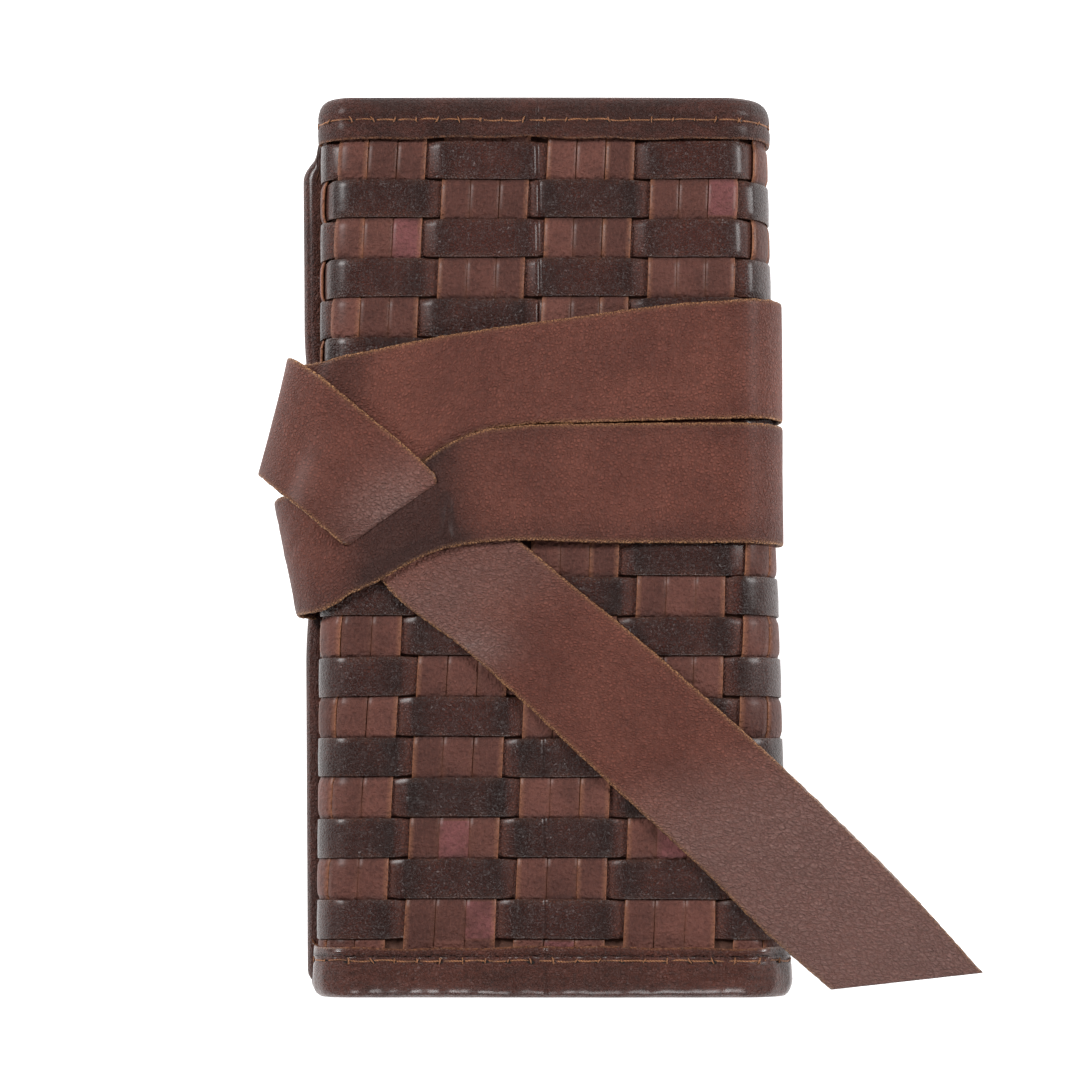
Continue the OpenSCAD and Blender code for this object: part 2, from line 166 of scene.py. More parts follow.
# ------------------------------------------------------------------ mesh building
class MeshParts:
    """Collects swept rings of points into one mesh with its surface coordinates and masks."""

    def __init__(self):
        self.points, self.faces, self.coords, self.masks, self.count = [], [], [], {}, 0
        self.flat_faces = []

    def add(self, rings, coords, closed=True, caps=True, **masks):
        """Adds rings (n, m, 3) as a skin. closed joins each ring's last point to its first."""
        n, m = rings.shape[:2]
        index = self.count + np.arange(n * m).reshape(n, m)
        across = np.roll(index, -1, axis=1) if closed else index[:, 1:]
        here = index if closed else index[:, :-1]
        quads = np.stack([here[:-1], across[:-1], across[1:], here[1:]], axis=-1)
        self.faces += quads.reshape(-1, 4).tolist()
        if caps and closed:
            self.flat_faces += [len(self.faces), len(self.faces) + 1]
            self.faces += [index[0, ::-1].tolist(), index[-1].tolist()]
        self.points.append(rings.reshape(-1, 3))
        self.coords.append(np.broadcast_to(coords, (n, m, 2)).reshape(-1, 2))
        for name, value in masks.items():
            flat = np.broadcast_to(np.asarray(value, float), (n, m)).reshape(-1)
            self.masks.setdefault(name, []).append((self.count, flat))
        self.count += n * m

    def build(self, name, material):
        """Makes the object, with outward faces, smooth shading, a UV map and one attribute per mask."""
        mesh = bpy.data.meshes.new(name)
        mesh.from_pydata(np.concatenate(self.points).tolist(), [], self.faces)
        smooth_faces = np.ones(len(mesh.polygons), bool)
        smooth_faces[self.flat_faces] = False
        mesh.polygons.foreach_set("use_smooth", smooth_faces)
        loops = np.zeros(len(mesh.loops), np.int32)
        mesh.loops.foreach_get("vertex_index", loops)
        layer = mesh.uv_layers.new(name="Leather")
        layer.data.foreach_set("uv", np.concatenate(self.coords)[loops].astype(np.float32).ravel())
        for mask, pieces in self.masks.items():
            values = np.zeros(self.count, np.float32)
            for start, flat in pieces:
                values[start:start + len(flat)] = flat
            mesh.attributes.new(mask, "FLOAT", "POINT").data.foreach_set("value", values)
        work = bmesh.new()
        work.from_mesh(mesh)
        bmesh.ops.recalc_face_normals(work, faces=work.faces)
        work.to_mesh(mesh)
        work.free()
        piece = bpy.data.objects.new(name, mesh)
        bpy.context.scene.collection.objects.link(piece)
        mesh.materials.append(material)
        return piece


def strip_section(width, thickness, crown):
    """Closed outline of a cut leather strip: places across, heights, and a mask of its cut edges."""
    a = np.array([-1, -0.95, -0.62, -0.22, 0.22, 0.62, 0.95, 1, 1, 0.95, 0, -0.95, -1])
    up = np.array([0.2, 0.46, 0.5, 0.5, 0.5, 0.5, 0.46, 0.2, -0.2, -0.5, -0.5, -0.5, -0.2])
    edge = np.array([1, 0.35, 0, 0, 0, 0, 0.35, 1, 1, 0.6, 0, 0.6, 1])
    return a * width / 2, up * thickness + crown * (1 - a * a), edge


def soft_noise(points, scale, seed=0.0):
    """Smooth noise from about -1 to 1 at each point, at a scale in waves per metre."""
    flat = np.asarray(points, float).reshape(-1, 3)
    shift = Vector((seed, seed * 0.7, -seed))
    values = [noise.noise(Vector(p) * scale + shift) for p in flat]
    return np.array(values).reshape(np.asarray(points).shape[:-1])


def place_on_stretch(piece, stretch, part=None):
    """Bakes a piece's transform. It stands for that part of each of the sections, whose solids are hidden."""
    x, z, _, _ = section_point(np.array([stretch.bend_from, stretch.bend_to]))
    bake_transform(piece)
    if part and stretch.sections:
        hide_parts(*(f"{section}_{part}" for section in stretch.sections))


def fix_to(piece, body, slot, *nodes):
    """Makes a piece ride on one body and hides the solids it stands for."""
    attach(piece, body)
    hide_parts(*nodes)


# ------------------------------------------------------------------ shader maths
class Value:
    """A value on a surface. Expressions on it add Math nodes."""

    def __init__(self, tree, socket):
        self.tree, self.socket = tree, socket

    def math(self, operation, *others):
        return self.tree.node("ShaderNodeMath", {"operation": operation}, [self, *others])

    def __add__(self, other):
        return self.math("ADD", other)

    def __sub__(self, other):
        return self.math("SUBTRACT", other)

    def __mul__(self, other):
        return self.math("MULTIPLY", other)

    def __rsub__(self, other):
        return self.tree.node("ShaderNodeMath", {"operation": "SUBTRACT"}, [other, self])

    __radd__, __rmul__ = __add__, __mul__

    def clamp(self):
        return self.tree.node("ShaderNodeMath", {"operation": "ADD", "use_clamp": True}, [self, 0.0])

    def step(self, low, high):
        """0 below low, 1 above high, and smooth between."""
        settings = {"interpolation_type": "SMOOTHSTEP"}
        return self.tree.node("ShaderNodeMapRange", settings, [self, low, high, 0.0, 1.0])


class Finish:
    """One leather or thread finish: a Principled shader and the nodes that feed it."""

    def __init__(self, name, **constants):
        self.material = bpy.data.materials.new(name)
        self.material.use_nodes = True
        self.nodes, self.links = self.material.node_tree.nodes, self.material.node_tree.links
        self.shader = next(n for n in self.nodes if n.type == "BSDF_PRINCIPLED")
        for socket, value in constants.items():
            self.shader.inputs[socket.replace("_", " ").title()].default_value = value

    def node(self, kind, settings=None, inputs=(), output=0):
        """Adds a node: its settings first, then the values or links of its sockets."""
        made = self.nodes.new(kind)
        for name, value in (settings or {}).items():
            setattr(made, name, value)
        pairs = inputs.items() if isinstance(inputs, dict) else enumerate(inputs)
        for key, value in pairs:
            socket = self.socket(made.inputs, key)
            if isinstance(value, Value):
                self.links.new(value.socket, socket)
            else:
                socket.default_value = value
        return Value(self, self.socket(made.outputs, output))

    @staticmethod
    def socket(sockets, key):
        """The socket with this number, name or identifier."""
        if isinstance(key, int):
            return sockets[key]
        return next(s for s in sockets if key in (s.identifier, s.name) and s.enabled)

    def surface(self):
        """Coordinates on the leather itself, in metres."""
        return self.node("ShaderNodeUVMap", {"uv_map": "Leather"})

    def mask(self, name):
        return self.node("ShaderNodeAttribute", {"attribute_name": name}, output="Fac")

    def stretched(self, x, y, turn=0.0):
        inputs = {"Vector": self.surface(), "Scale": (x, y, 1), "Rotation": (0, 0, turn)}
        return self.node("ShaderNodeMapping", {}, inputs)

    def noise(self, vector, scale, detail=3.0, roughness=0.55):
        inputs = {"Vector": vector, "Scale": scale, "Detail": detail, "Roughness": roughness}
        return self.node("ShaderNodeTexNoise", {"noise_dimensions": "3D"}, inputs, "Fac")

    def cells(self, vector, scale):
        """Distance to the edge of small cells, as in pebbled grain."""
        return self.node("ShaderNodeTexVoronoi", {"feature": "DISTANCE_TO_EDGE"},
                         {"Vector": vector, "Scale": scale}, "Distance")

    def mix(self, factor, a, b):
        """A colour between a and b."""
        sockets = {"Factor_Float": factor, "A_Color": a, "B_Color": b}
        return self.node("ShaderNodeMix", {"data_type": "RGBA"}, sockets, "Result_Color")

    def feed(self, **sockets):
        for name, value in sockets.items():
            self.links.new(value.socket, self.shader.inputs[name.replace("_", " ").title()])

    def bump(self, height, distance, strength=1.0):
        inputs = {"Strength": strength, "Distance": distance, "Height": height}
        normal = self.node("ShaderNodeBump", {}, inputs)
        self.links.new(normal.socket, self.shader.inputs["Normal"])


def linear(colour, shade=1.0):
    """A screen colour from 0 to 255 as linear light, with alpha."""
    out = []
    for channel in colour:
        c = channel / 255
        out.append(shade * (c / 12.92 if c <= 0.04045 else ((c + 0.055) / 1.055) ** 2.4))
    return (*out, 1.0)


FINISHES = {}


def finish(name):
    """A named finish, made once."""
    if name not in FINISHES:
        FINISHES[name] = FINISH_MAKERS[name]()
    return FINISHES[name].material


def warp_finish():
    f = Finish("warp leather", roughness=0.6, coat_weight=0.18, coat_roughness=0.3)
    f.shader.inputs["Specular IOR Level"].default_value = 0.25
    uv, tint, edge, under = f.surface(), f.mask("tint"), f.mask("edge"), f.mask("under")
    cloudy, fine = f.noise(uv, 120, 4), f.noise(f.stretched(1900, 700), 1.0, 3)
    base = f.mix(tint.step(0.2, 0.8), linear((88, 51, 43)), linear((116, 71, 61)))
    base = f.mix(tint.step(0.955, 0.965), base, linear((126, 74, 74)))
    base = f.mix(cloudy.step(0.4, 0.7) * 0.6, base, linear((72, 42, 36)))
    grain = f.noise(uv, 950, 3)
    base = f.mix(fine.step(0.45, 0.75) * 0.3, base, linear((132, 84, 72)))
    base = f.mix(grain.step(0.45, 0.7) * 0.4, base, linear((66, 38, 32)))
    # painted shade: the warp darkens where it dips under the weft strips
    base = f.mix(under.clamp() * 0.8, base, linear((38, 20, 16)))
    tan = edge * 1.5 * f.noise(uv, 900, 2).step(0.2, 0.55)
    base = f.mix(tan.clamp() * 0.9, base, linear((166, 110, 80)))
    f.feed(base_color=base, roughness=0.5 + cloudy * 0.28)
    relief = grain * -2.0 + fine * 0.9 + f.noise(uv, 420, 3) * 1.4
    f.bump(relief, 0.0006, 1.0)
    return f


def weft_finish():
    f = Finish("weft leather", roughness=0.45, coat_weight=0.32, coat_roughness=0.26)
    f.shader.inputs["Specular IOR Level"].default_value = 0.32
    uv, tint, edge, burnish = f.surface(), f.mask("tint"), f.mask("edge"), f.mask("burnish")
    under = f.mask("under")
    cloudy, fine = f.noise(uv, 150, 4), f.noise(uv, 1300, 3)
    base = f.mix(tint, linear((78, 37, 29)), linear((56, 27, 21)))
    base = f.mix(cloudy.step(0.42, 0.68) * 0.55, base, linear((90, 46, 36)))
    base = f.mix(burnish.clamp() * 0.85, base, linear((30, 16, 14)))
    base = f.mix(under.clamp(), base, linear((92, 50, 39)))
    base = f.mix((edge * cloudy.step(0.35, 0.6)).clamp() * 0.6, base, linear((118, 84, 70)))
    pits = f.cells(uv, 1250).step(0.0, 0.3)
    base = f.mix((1 - pits) * 0.5, base, linear((34, 20, 18)))
    f.feed(base_color=base, roughness=0.27 + fine * 0.2 + under * 0.2)
    relief = pits * 0.7 + fine * 0.6 + f.noise(f.stretched(260, 1000), 1.0, 3) * 1.4
    f.bump(relief, 0.0004, 0.9)
    return f


def binding_finish():
    f = Finish("binding leather", roughness=0.5, coat_roughness=0.2)
    f.shader.inputs["Specular IOR Level"].default_value = 0.32
    uv, edge, gloss = f.surface(), f.mask("edge"), f.mask("gloss")
    cloudy, fine = f.noise(f.stretched(60, 170), 1.0, 5), f.noise(uv, 1100, 3)
    base = f.mix(cloudy.step(0.35, 0.7), linear((54, 28, 22)), linear((82, 43, 34)))
    # painted sheen: the colour is lightened where the binding is glossy; the same mask lowers roughness, adds
    # coat and deepens the relief
    base = f.mix(gloss.clamp() * 0.65, base, linear((116, 66, 54)))
    base = f.mix(f.noise(uv, 800, 3).step(0.45, 0.7) * 0.5, base, linear((44, 26, 22)))
    base = f.mix((edge * fine.step(0.3, 0.6)).clamp() * 0.75, base, linear((158, 104, 70)))
    f.feed(base_color=base, roughness=0.5 + cloudy * 0.12 + gloss * -0.3, coat_weight=(gloss * 0.9).clamp())
    creases = f.noise(f.stretched(180, 620), 1.0, 4, 0.6)
    cracks = f.noise(f.stretched(1000, 240), 1.0, 3)
    lumps = f.noise(uv, 330, 3)
    relief = f.cells(uv, 1300).step(0.0, 0.25) * 0.5 + fine * 0.4 + lumps * (0.8 + gloss * 1.6)
    relief = relief + cracks * 0.5 + creases * (0.5 + gloss * 1.8)
    f.bump(relief, 0.0007, 1.0)
    return f


def tie_finish():
    f = Finish("tie leather", roughness=0.55, coat_roughness=0.28)
    f.shader.inputs["Specular IOR Level"].default_value = 0.25
    uv, edge, shade, painted_sheen = f.surface(), f.mask("edge"), f.mask("shade"), f.mask("painted_sheen")
    cloudy, fine, fibre = f.noise(uv, 45, 4), f.noise(uv, 1700, 2), f.noise(uv, 2600, 2)
    base = f.mix(cloudy.step(0.3, 0.72), linear((112, 62, 51)), linear((136, 79, 65)))
    pebble = f.cells(uv, 1150).step(0.0, 0.3)
    mottle = f.noise(uv, 800, 3)
    base = f.mix((1 - pebble) * 0.4, base, linear((66, 39, 33)))
    base = f.mix(mottle.step(0.45, 0.7) * 0.35, base, linear((76, 45, 38)))
    base = f.mix(fine.step(0.45, 0.75) * 0.35, base, linear((84, 50, 43)))
    large = f.cells(uv, 720).step(0.0, 0.25)
    # painted sheen: pale pink-grey patches stand in for highlights; the same mask adds coat, lowers roughness
    # and deepens the creases
    base = f.mix(painted_sheen.clamp() * 0.85 * (0.4 + pebble * 0.25 + large * 0.35), base, linear((166, 130, 122)))
    base = f.mix(shade.clamp() * 0.85, base, linear((50, 31, 28)))
    cut = f.mix(fibre.step(0.4, 0.62), linear((86, 50, 34)), linear((196, 144, 100)))
    base = f.mix((edge * (0.35 + fibre)).clamp(), base, cut)
    f.feed(base_color=base, roughness=0.5 + cloudy * 0.16 - painted_sheen * 0.12,
           coat_weight=(painted_sheen * 0.6 + 0.06).clamp())
    lines = f.noise(f.stretched(900, 300, 0.5), 1.0, 4, 0.6)
    grain = pebble * (0.6 + painted_sheen * 0.4) + large * painted_sheen * 1.2 + mottle * -1.4 + fine * 0.5
    grain = grain + lines * (0.6 + painted_sheen * 2.6)
    f.bump(grain, 0.0006, 1.0)
    return f


def lining_finish():
    f = Finish("lining leather", roughness=0.85)
    uv = f.surface()
    cloudy, fine = f.noise(uv, 70, 4), f.noise(uv, 2200, 3)
    base = f.mix(cloudy.step(0.3, 0.7), linear((84, 54, 44)), linear((106, 70, 57)))
    base = f.mix(fine.step(0.4, 0.7) * 0.5, base, linear((128, 88, 70)))
    base = f.mix(f.mask("edge").clamp() * 0.6, base, linear((160, 110, 74)))
    f.feed(base_color=base, roughness=0.78 + cloudy * 0.12)
    f.bump(fine + f.noise(uv, 500, 3) * 1.2, 0.0002, 0.8)
    return f


def thread_finish():
    f = Finish("waxed thread", roughness=0.6)
    uv = f.surface()
    ply = f.node("ShaderNodeTexWave", {"wave_type": "BANDS", "bands_direction": "DIAGONAL"},
                 {"Vector": uv, "Scale": 900.0, "Distortion": 1.0}, "Fac")
    dirt = f.noise(uv, 260, 3)
    base = f.mix(ply, linear((120, 72, 44)), linear((178, 122, 82)))
    base = f.mix(dirt.step(0.45, 0.65) * 0.6, base, linear((58, 36, 26)))
    f.feed(base_color=base, roughness=0.5 + ply * 0.2)
    f.bump(ply, 0.00012, 0.8)
    return f


def hole_shade_finish():
    # painted shade: near-black discs stand in for the dark inside of each stitch hole
    f = Finish("stitch hole shade", roughness=0.9)
    depth = f.noise(f.surface(), 900, 2)
    f.feed(base_color=f.mix(depth, linear((14, 8, 6)), linear((32, 18, 12))))
    return f


def floor_finish():
    f = Finish("pale floor", roughness=0.85)
    f.shader.inputs["Base Color"].default_value = (0.94, 0.94, 0.94, 1)
    f.shader.inputs["Emission Color"].default_value = (1, 1, 1, 1)
    f.shader.inputs["Emission Strength"].default_value = 0.8
    return f


FINISH_MAKERS = {
    "warp": warp_finish, "weft": weft_finish, "binding": binding_finish, "tie": tie_finish,
    "lining": lining_finish, "thread": thread_finish, "hole_shade": hole_shade_finish, "floor": floor_finish,
}


# ------------------------------------------------------------------ settings
def length(name, description, default):
    """A length setting in metres."""
    return bpy.props.FloatProperty(
        name=name, description=description, default=default, unit="LENGTH", min=0.0)


class WeaveSettings(bpy.types.PropertyGroup):
    """Sizes of the woven sheet."""

    pitch: length("Weft pitch", "Spacing of the weft strips along the roll", 10.03 * MM)
    weft_width: length("Weft width", "Width of one weft strip", 9.75 * MM)
    rows: bpy.props.IntProperty(name="Rows", description="Number of weft strips", default=20, min=4)
    block: length("Block", "Length of one woven block along the sheet", 26.7 * MM)
    warp_pitch: length("Warp pitch", "Spacing of the warp strips in a block", 7.4 * MM)
    warp_width: length("Warp width", "Width of one warp strip", 7.36 * MM)
    strips: bpy.props.IntProperty(name="Strips", description="Warp strips in a block", default=3, min=1)
    thickness: length("Thickness", "Thickness of the woven strips", 0.72 * MM)
    rise: length("Rise", "How far a strip rises over or sinks under the middle", 0.5 * MM)
    slope: length("Slope", "Length over which a weft strip dives under", 1.9 * MM)
    lean: bpy.props.FloatProperty(
        name="Lean", description="Sideways shift of the warp per length", default=0.053, subtype="FACTOR")
    seed: bpy.props.IntProperty(name="Seed", description="Seed of the small differences", default=7)


class EdgeSettings(bpy.types.PropertyGroup):
    """Sizes of the bindings, stitches and pockets."""

    thickness: length("Binding thickness", "Thickness of the binding leather", 1.1 * MM)
    stitch: length("Stitch", "Spacing of the stitches", 5.5 * MM)
    thread: length("Thread", "Radius of the thread", 0.2 * MM)
    stitch_in: length("Stitch inset", "Distance of the top stitches from the end", 6.2 * MM)
    stitch_low: length("Lower stitch inset", "Distance of the bottom stitches from the end", 9.2 * MM)
    lining: length("Lining thickness", "Thickness of the lining leather", 0.8 * MM)


class TieSettings(bpy.types.PropertyGroup):
    """Sizes of the tie."""

    width: length("Width", "Width of the tie", 27.5 * MM)
    thickness: length("Thickness", "Thickness of the tie", 1.15 * MM)
    fuzz: length("Fuzz", "How far the cut edge wanders", 0.22 * MM)


class StageSettings(bpy.types.PropertyGroup):
    """Camera, floor and light."""

    distance: length("Distance", "Distance of the camera from the front face", 0.80)
    view_width: length("View width", "Width that the camera sees at the front face", 0.2695)
    elevation: bpy.props.FloatProperty(
        name="Elevation", description="Camera's height above the horizon", default=math.radians(85),
        unit="ROTATION")
    key_power: bpy.props.FloatProperty(
        name="Key power", description="Power of the large light", default=10.8, unit="POWER")
    sky: bpy.props.FloatProperty(
        name="Sky", description="Strength of the surrounding light", default=0.1, subtype="FACTOR")
    reach: length("Floor reach", "Distance from the middle of the floor to its sides", 9.0)


# ------------------------------------------------------------------ the woven sheet
def row_places(w):
    """Lower edges of the weft rows, from the top row down."""
    top = ROLL_HALF_L - TOP_BIND - 0.4 * MM
    return [top - (row + 1) * w.pitch for row in range(w.rows)]


def block_phase(w, s, y):
    """Position in woven blocks along the sheet. Whole numbers are the borders between blocks."""
    return (s - FIRST_BORDER - w.lean * -y) / w.block


def over_or_under(w, s, y, row):
    """1 where a row's weft strip lies over the warp and -1 where it lies under, smooth between."""
    phase = block_phase(w, s, y)
    block = np.floor(phase)
    share = phase - block
    sign = np.where((row + block) % 2 == 0, -1.0, 1.0)
    return sign * smooth(np.minimum(share, 1 - share) * w.block / w.slope), share


def weft_height(w, s, y, row):
    """Height of a weft strip's middle out of the sheet."""
    level, share = over_or_under(w, s, y, row)
    return w.rise * level + 0.12 * MM * np.sin(math.pi * share) * (level > 0)


def build_weft(w, stretch, parts):
    """The weft strips of one stretch."""
    dice = random.Random(w.seed)
    low, high = stretch.low, stretch.high
    last = high - (4 * MM if stretch.name == "inner" else 0)
    s = np.linspace(max(low, 3 * MM), last, max(8, int((high - low) / (0.95 * MM))))
    for row, y0 in enumerate(row_places(w)):
        tint, wobble, phase = dice.random(), dice.uniform(0.97, 1.0), dice.uniform(0, 6.28)
        dark = dice.uniform(0.0, 0.5)
        sway = 0.16 * MM * np.sin(s * 38 + phase) + 0.08 * MM * np.sin(s * 141 + 2 * phase)
        width = w.weft_width * wobble
        across, up, edge = strip_section(width, w.thickness, 0.16 * MM)
        y_mid = y0 + w.pitch / 2 + sway
        level, share = over_or_under(w, s, y_mid, row)
        narrow = 1 - 0.035 * (1 - level) / 2
        y = y_mid[:, None] + across[None, :] * narrow[:, None]
        curl = 0.14 * MM * (across / across.max()) ** 8 * (level[:, None] > 0.2)
        rings = on_sheet(s[:, None], y, weft_height(w, s, y_mid, row)[:, None] + up[None, :] + curl)
        ends = np.minimum(share, 1 - share) * w.block
        burnish = smooth((level - 0.3) / 0.7) * (dark + 0.55 * bump_at(ends, 2.5 * MM, 3.6 * MM))
        under = 1 - smooth((level + 0.55) / 0.75)
        coords = np.stack(np.broadcast_arrays(s[:, None] + 0.4 * row, y), -1)
        parts.add(rings, coords, tint=tint, edge=edge[None, :], burnish=burnish[:, None],
                  under=under[:, None])


def build_warp(w, stretch, parts):
    """The warp strips of one stretch, three to a block."""
    low, high = stretch.low, stretch.high
    y = np.arange(-ROLL_HALF_L + 3 * MM, ROLL_HALF_L - 2.5 * MM, 0.9 * MM)
    top = ROLL_HALF_L - TOP_BIND - 0.4 * MM
    row = (top - y) / w.pitch
    row_index = np.floor(row)
    to_border = np.minimum(row - row_index, 1 - row + row_index) * w.pitch
    inside = (row_index >= 0) & (row_index < w.rows)
    for block in range(-9, 8):
        for strip in range(w.strips):
            s_mid = FIRST_BORDER + (block + 0.5) * w.block + (strip - (w.strips - 1) / 2) * w.warp_pitch
            if not low <= s_mid < high:
                continue
            reach = w.warp_width / 2 + w.lean * ROLL_HALF_L + 0.5 * MM
            if s_mid - reach < 2 * MM or s_mid + reach > SHEET_END - 2 * MM:
                continue
            dice = random.Random(w.seed * 1000 + block * 10 + strip)
            sign = np.where((row_index + block) % 2 == 0, 1.0, -1.0)
            level = np.where(inside, sign * smooth(to_border / (1.5 * MM)), 0.4)
            width = w.warp_width * dice.uniform(0.985, 1.0)
            across, up, edge = strip_section(width, w.thickness, 0.1 * MM)
            tilt = dice.uniform(-0.12, 0.12) * MM
            s_line = s_mid - w.lean * y + 0.1 * MM * np.sin(y * 90 + s_mid * 700)
            h = w.rise * level + 0.14 * MM * smooth(to_border / (4 * MM)) * (level > 0)
            tilted = up[None, :] + tilt * (across / across.max())[None, :]
            s = s_line[:, None] + across[None, :]
            rings = on_sheet(s, y[:, None], h[:, None] + tilted)
            # mask of painted shade where the warp dips under a weft strip
            under = 0.9 * (1 - smooth((level + 0.3) / 0.75))
            end_strip = -1 if strip == 0 else (1 if strip == w.strips - 1 else 0)
            outer_side = (across * end_strip > 0) | (dice.random() > 0.85)
            tans = edge[None, :] * np.where(outer_side, 1.0, 0.16)[None, :]
            tint = dice.random()
            cell_dice = (random.Random(w.seed + int(r) * 977 + block * 31 + strip) for r in row_index)
            row_tint = np.array([cell.random() for cell in cell_dice])
            coords = np.stack(np.broadcast_arrays(s, y[:, None]), -1)
            shown = np.where(row_tint > 0.95, 1.0, (0.5 * tint + 0.5 * row_tint) * 0.94)
            parts.add(rings, coords, tint=shown[:, None], edge=tans, under=under[:, None])


class ROLL_OT_weft(bpy.types.Operator):
    """Weave the dark weft strips round the roll"""

    bl_idname = "brush_roll.weft"
    bl_label = "Weft strips"

    def execute(self, context):
        for stretch in STRETCHES:
            parts = MeshParts()
            build_weft(context.scene.roll_weave, stretch, parts)
            piece = parts.build(f"{stretch.name}_weft", finish("weft"))
            place_on_stretch(piece, stretch, "weft_strips")
        return {"FINISHED"}


class ROLL_OT_warp(bpy.types.Operator):
    """Lay the light warp strips along the roll"""

    bl_idname = "brush_roll.warp"
    bl_label = "Warp strips"

    def execute(self, context):
        for stretch in STRETCHES:
            parts = MeshParts()
            build_warp(context.scene.roll_weave, stretch, parts)
            piece = parts.build(f"{stretch.name}_warp", finish("warp"))
            place_on_stretch(piece, stretch, "warp_strips")
        return {"FINISHED"}


# ------------------------------------------------------------------ lining, bindings and stitches
def sheet_samples(stretch, step, start=0.0, end=0.0):
    """Distances along one stretch, kept clear of the sheet's two ends."""
    low, high = stretch.low, stretch.high
    low = max(low, start)
    high = min(high, SHEET_END - end)
    return np.linspace(low, high, max(6, int((high - low) / step)))


class ROLL_OT_lining(bpy.types.Operator):
    """Make the lining that carries the weave"""

    bl_idname = "brush_roll.lining"
    bl_label = "Lining"

    def execute(self, context):
        e = context.scene.roll_edges
        y_end = ROLL_HALF_L - 2.2 * MM
        count = 46
        top = np.linspace(-y_end, y_end, count)
        y = np.concatenate([top, top[::-1]])
        face = -1.05 * MM
        h = np.concatenate([np.full(count, face), np.full(count, face - e.lining)])
        for stretch in STRETCHES:
            s = sheet_samples(stretch, 2 * MM, 1.5 * MM, 1.5 * MM)
            parts = MeshParts()
            rings = on_sheet(s[:, None], y[None, :], h[None, :])
            coords = np.stack(np.broadcast_arrays(s[:, None], y[None, :]), -1)
            edge = (np.abs(y) > y_end - 0.1 * MM).astype(float)
            parts.add(rings, coords, edge=edge[None, :])
            piece = parts.build(f"lining_{stretch.name}", finish("lining"))
            place_on_stretch(piece, stretch, "lining")
        return {"FINISHED"}


def fold_line(width, stitch):
    """Middle line of a folded binding: distances in from the end of the roll, and heights."""
    return np.array([
        (width, 1.05), (width - 0.6, 1.2), (width - 2.2, 1.32), (stitch + 1.3, 1.36), (stitch + 0.5, 1.2),
        (stitch, 1.12), (stitch - 0.5, 1.2), (stitch - 1.4, 1.36), (4.2, 1.36), (3.0, 1.2), (2.0, 0.9),
        (1.2, 0.45), (0.65, -0.2), (0.6, -1.0), (1.0, -1.7), (1.8, -2.25), (3.2, -2.5), (stitch + 0.1, -2.5),
        (width - 2, -2.5), (width, -2.5),
    ])


def fold_ring(line, thickness):
    """Closed outline of a folded strip round its middle line, with a mask of its cut edges."""
    run = np.gradient(line, axis=0)
    run /= np.linalg.norm(run, axis=1)[:, None]
    out = np.stack([run[:, 1], -run[:, 0]], axis=1) * thickness / 2
    ring = np.concatenate([line + out, (line - out)[::-1]])
    edge = np.zeros(len(ring))
    edge[[0, -1, len(line) - 1, len(line)]] = 1
    return ring, edge


def build_binding(e, stretch, side, parts):
    """The folded binding along one end of the roll. side is 1 for the top and -1 for the bottom."""
    width = (TOP_BIND if side > 0 else BOTTOM_BIND) / MM
    stitch = (e.stitch_in if side > 0 else e.stitch_low) / MM
    ring, edge = fold_ring(fold_line(width, stitch), e.thickness / MM)
    s = sheet_samples(stretch, 0.75 * MM)
    ragged = 0.28 * np.sin(s * 83 + side) + 0.18 * np.sin(s * 311 + 2 * side)
    inward, height = (np.broadcast_to(ring[:, k], (len(s), len(ring))).copy() for k in (0, 1))
    near_edge = smooth((inward - width + 3) / 3)
    inward += ragged[:, None] * near_edge * (height > 0)
    pinch = 0.16 * (0.5 + 0.5 * np.cos(2 * math.pi * s / e.stitch))
    height -= pinch[:, None] * bump_at(inward, stitch, 0.9) * (height > 0)
    s_all = np.broadcast_to(s[:, None], inward.shape)
    flat = np.stack([s_all * 1.0, inward * MM, np.zeros_like(inward)], -1)
    creases = soft_noise(flat * np.array([1.0, 0.45, 1.0]), 300, 3.0 * side)
    lumps = soft_noise(flat, 90, 7.0 * side)
    strength = 0.08 if side > 0 else 0.34
    swell = strength * creases + (0.12 if side > 0 else 0.3) * lumps
    height += swell * (np.abs(height) > 0.2) * np.sign(height)
    y = side * (ROLL_HALF_L - inward * MM)
    rings = on_sheet(s[:, None], y, height * MM)
    # painted sheen with real gloss: strong on the bottom binding, faint on the top one
    gloss = (0.15 if side > 0 else 0.85) * (0.6 + 0.4 * lumps)
    parts.add(rings, np.stack([s_all, y], -1), edge=edge[None, :], gloss=gloss)


class ROLL_OT_bindings(bpy.types.Operator):
    """Fold the leather bindings over the top and bottom ends"""

    bl_idname = "brush_roll.bindings"
    bl_label = "End bindings"

    def execute(self, context):
        e = context.scene.roll_edges
        for stretch in STRETCHES:
            for side, word in ((1, "top"), (-1, "bottom")):
                parts = MeshParts()
                build_binding(e, stretch, side, parts)
                piece = parts.build(f"{word}_fold_{stretch.name}", finish("binding"))
                place_on_stretch(piece, stretch, f"{word}_binding")
        return {"FINISHED"}


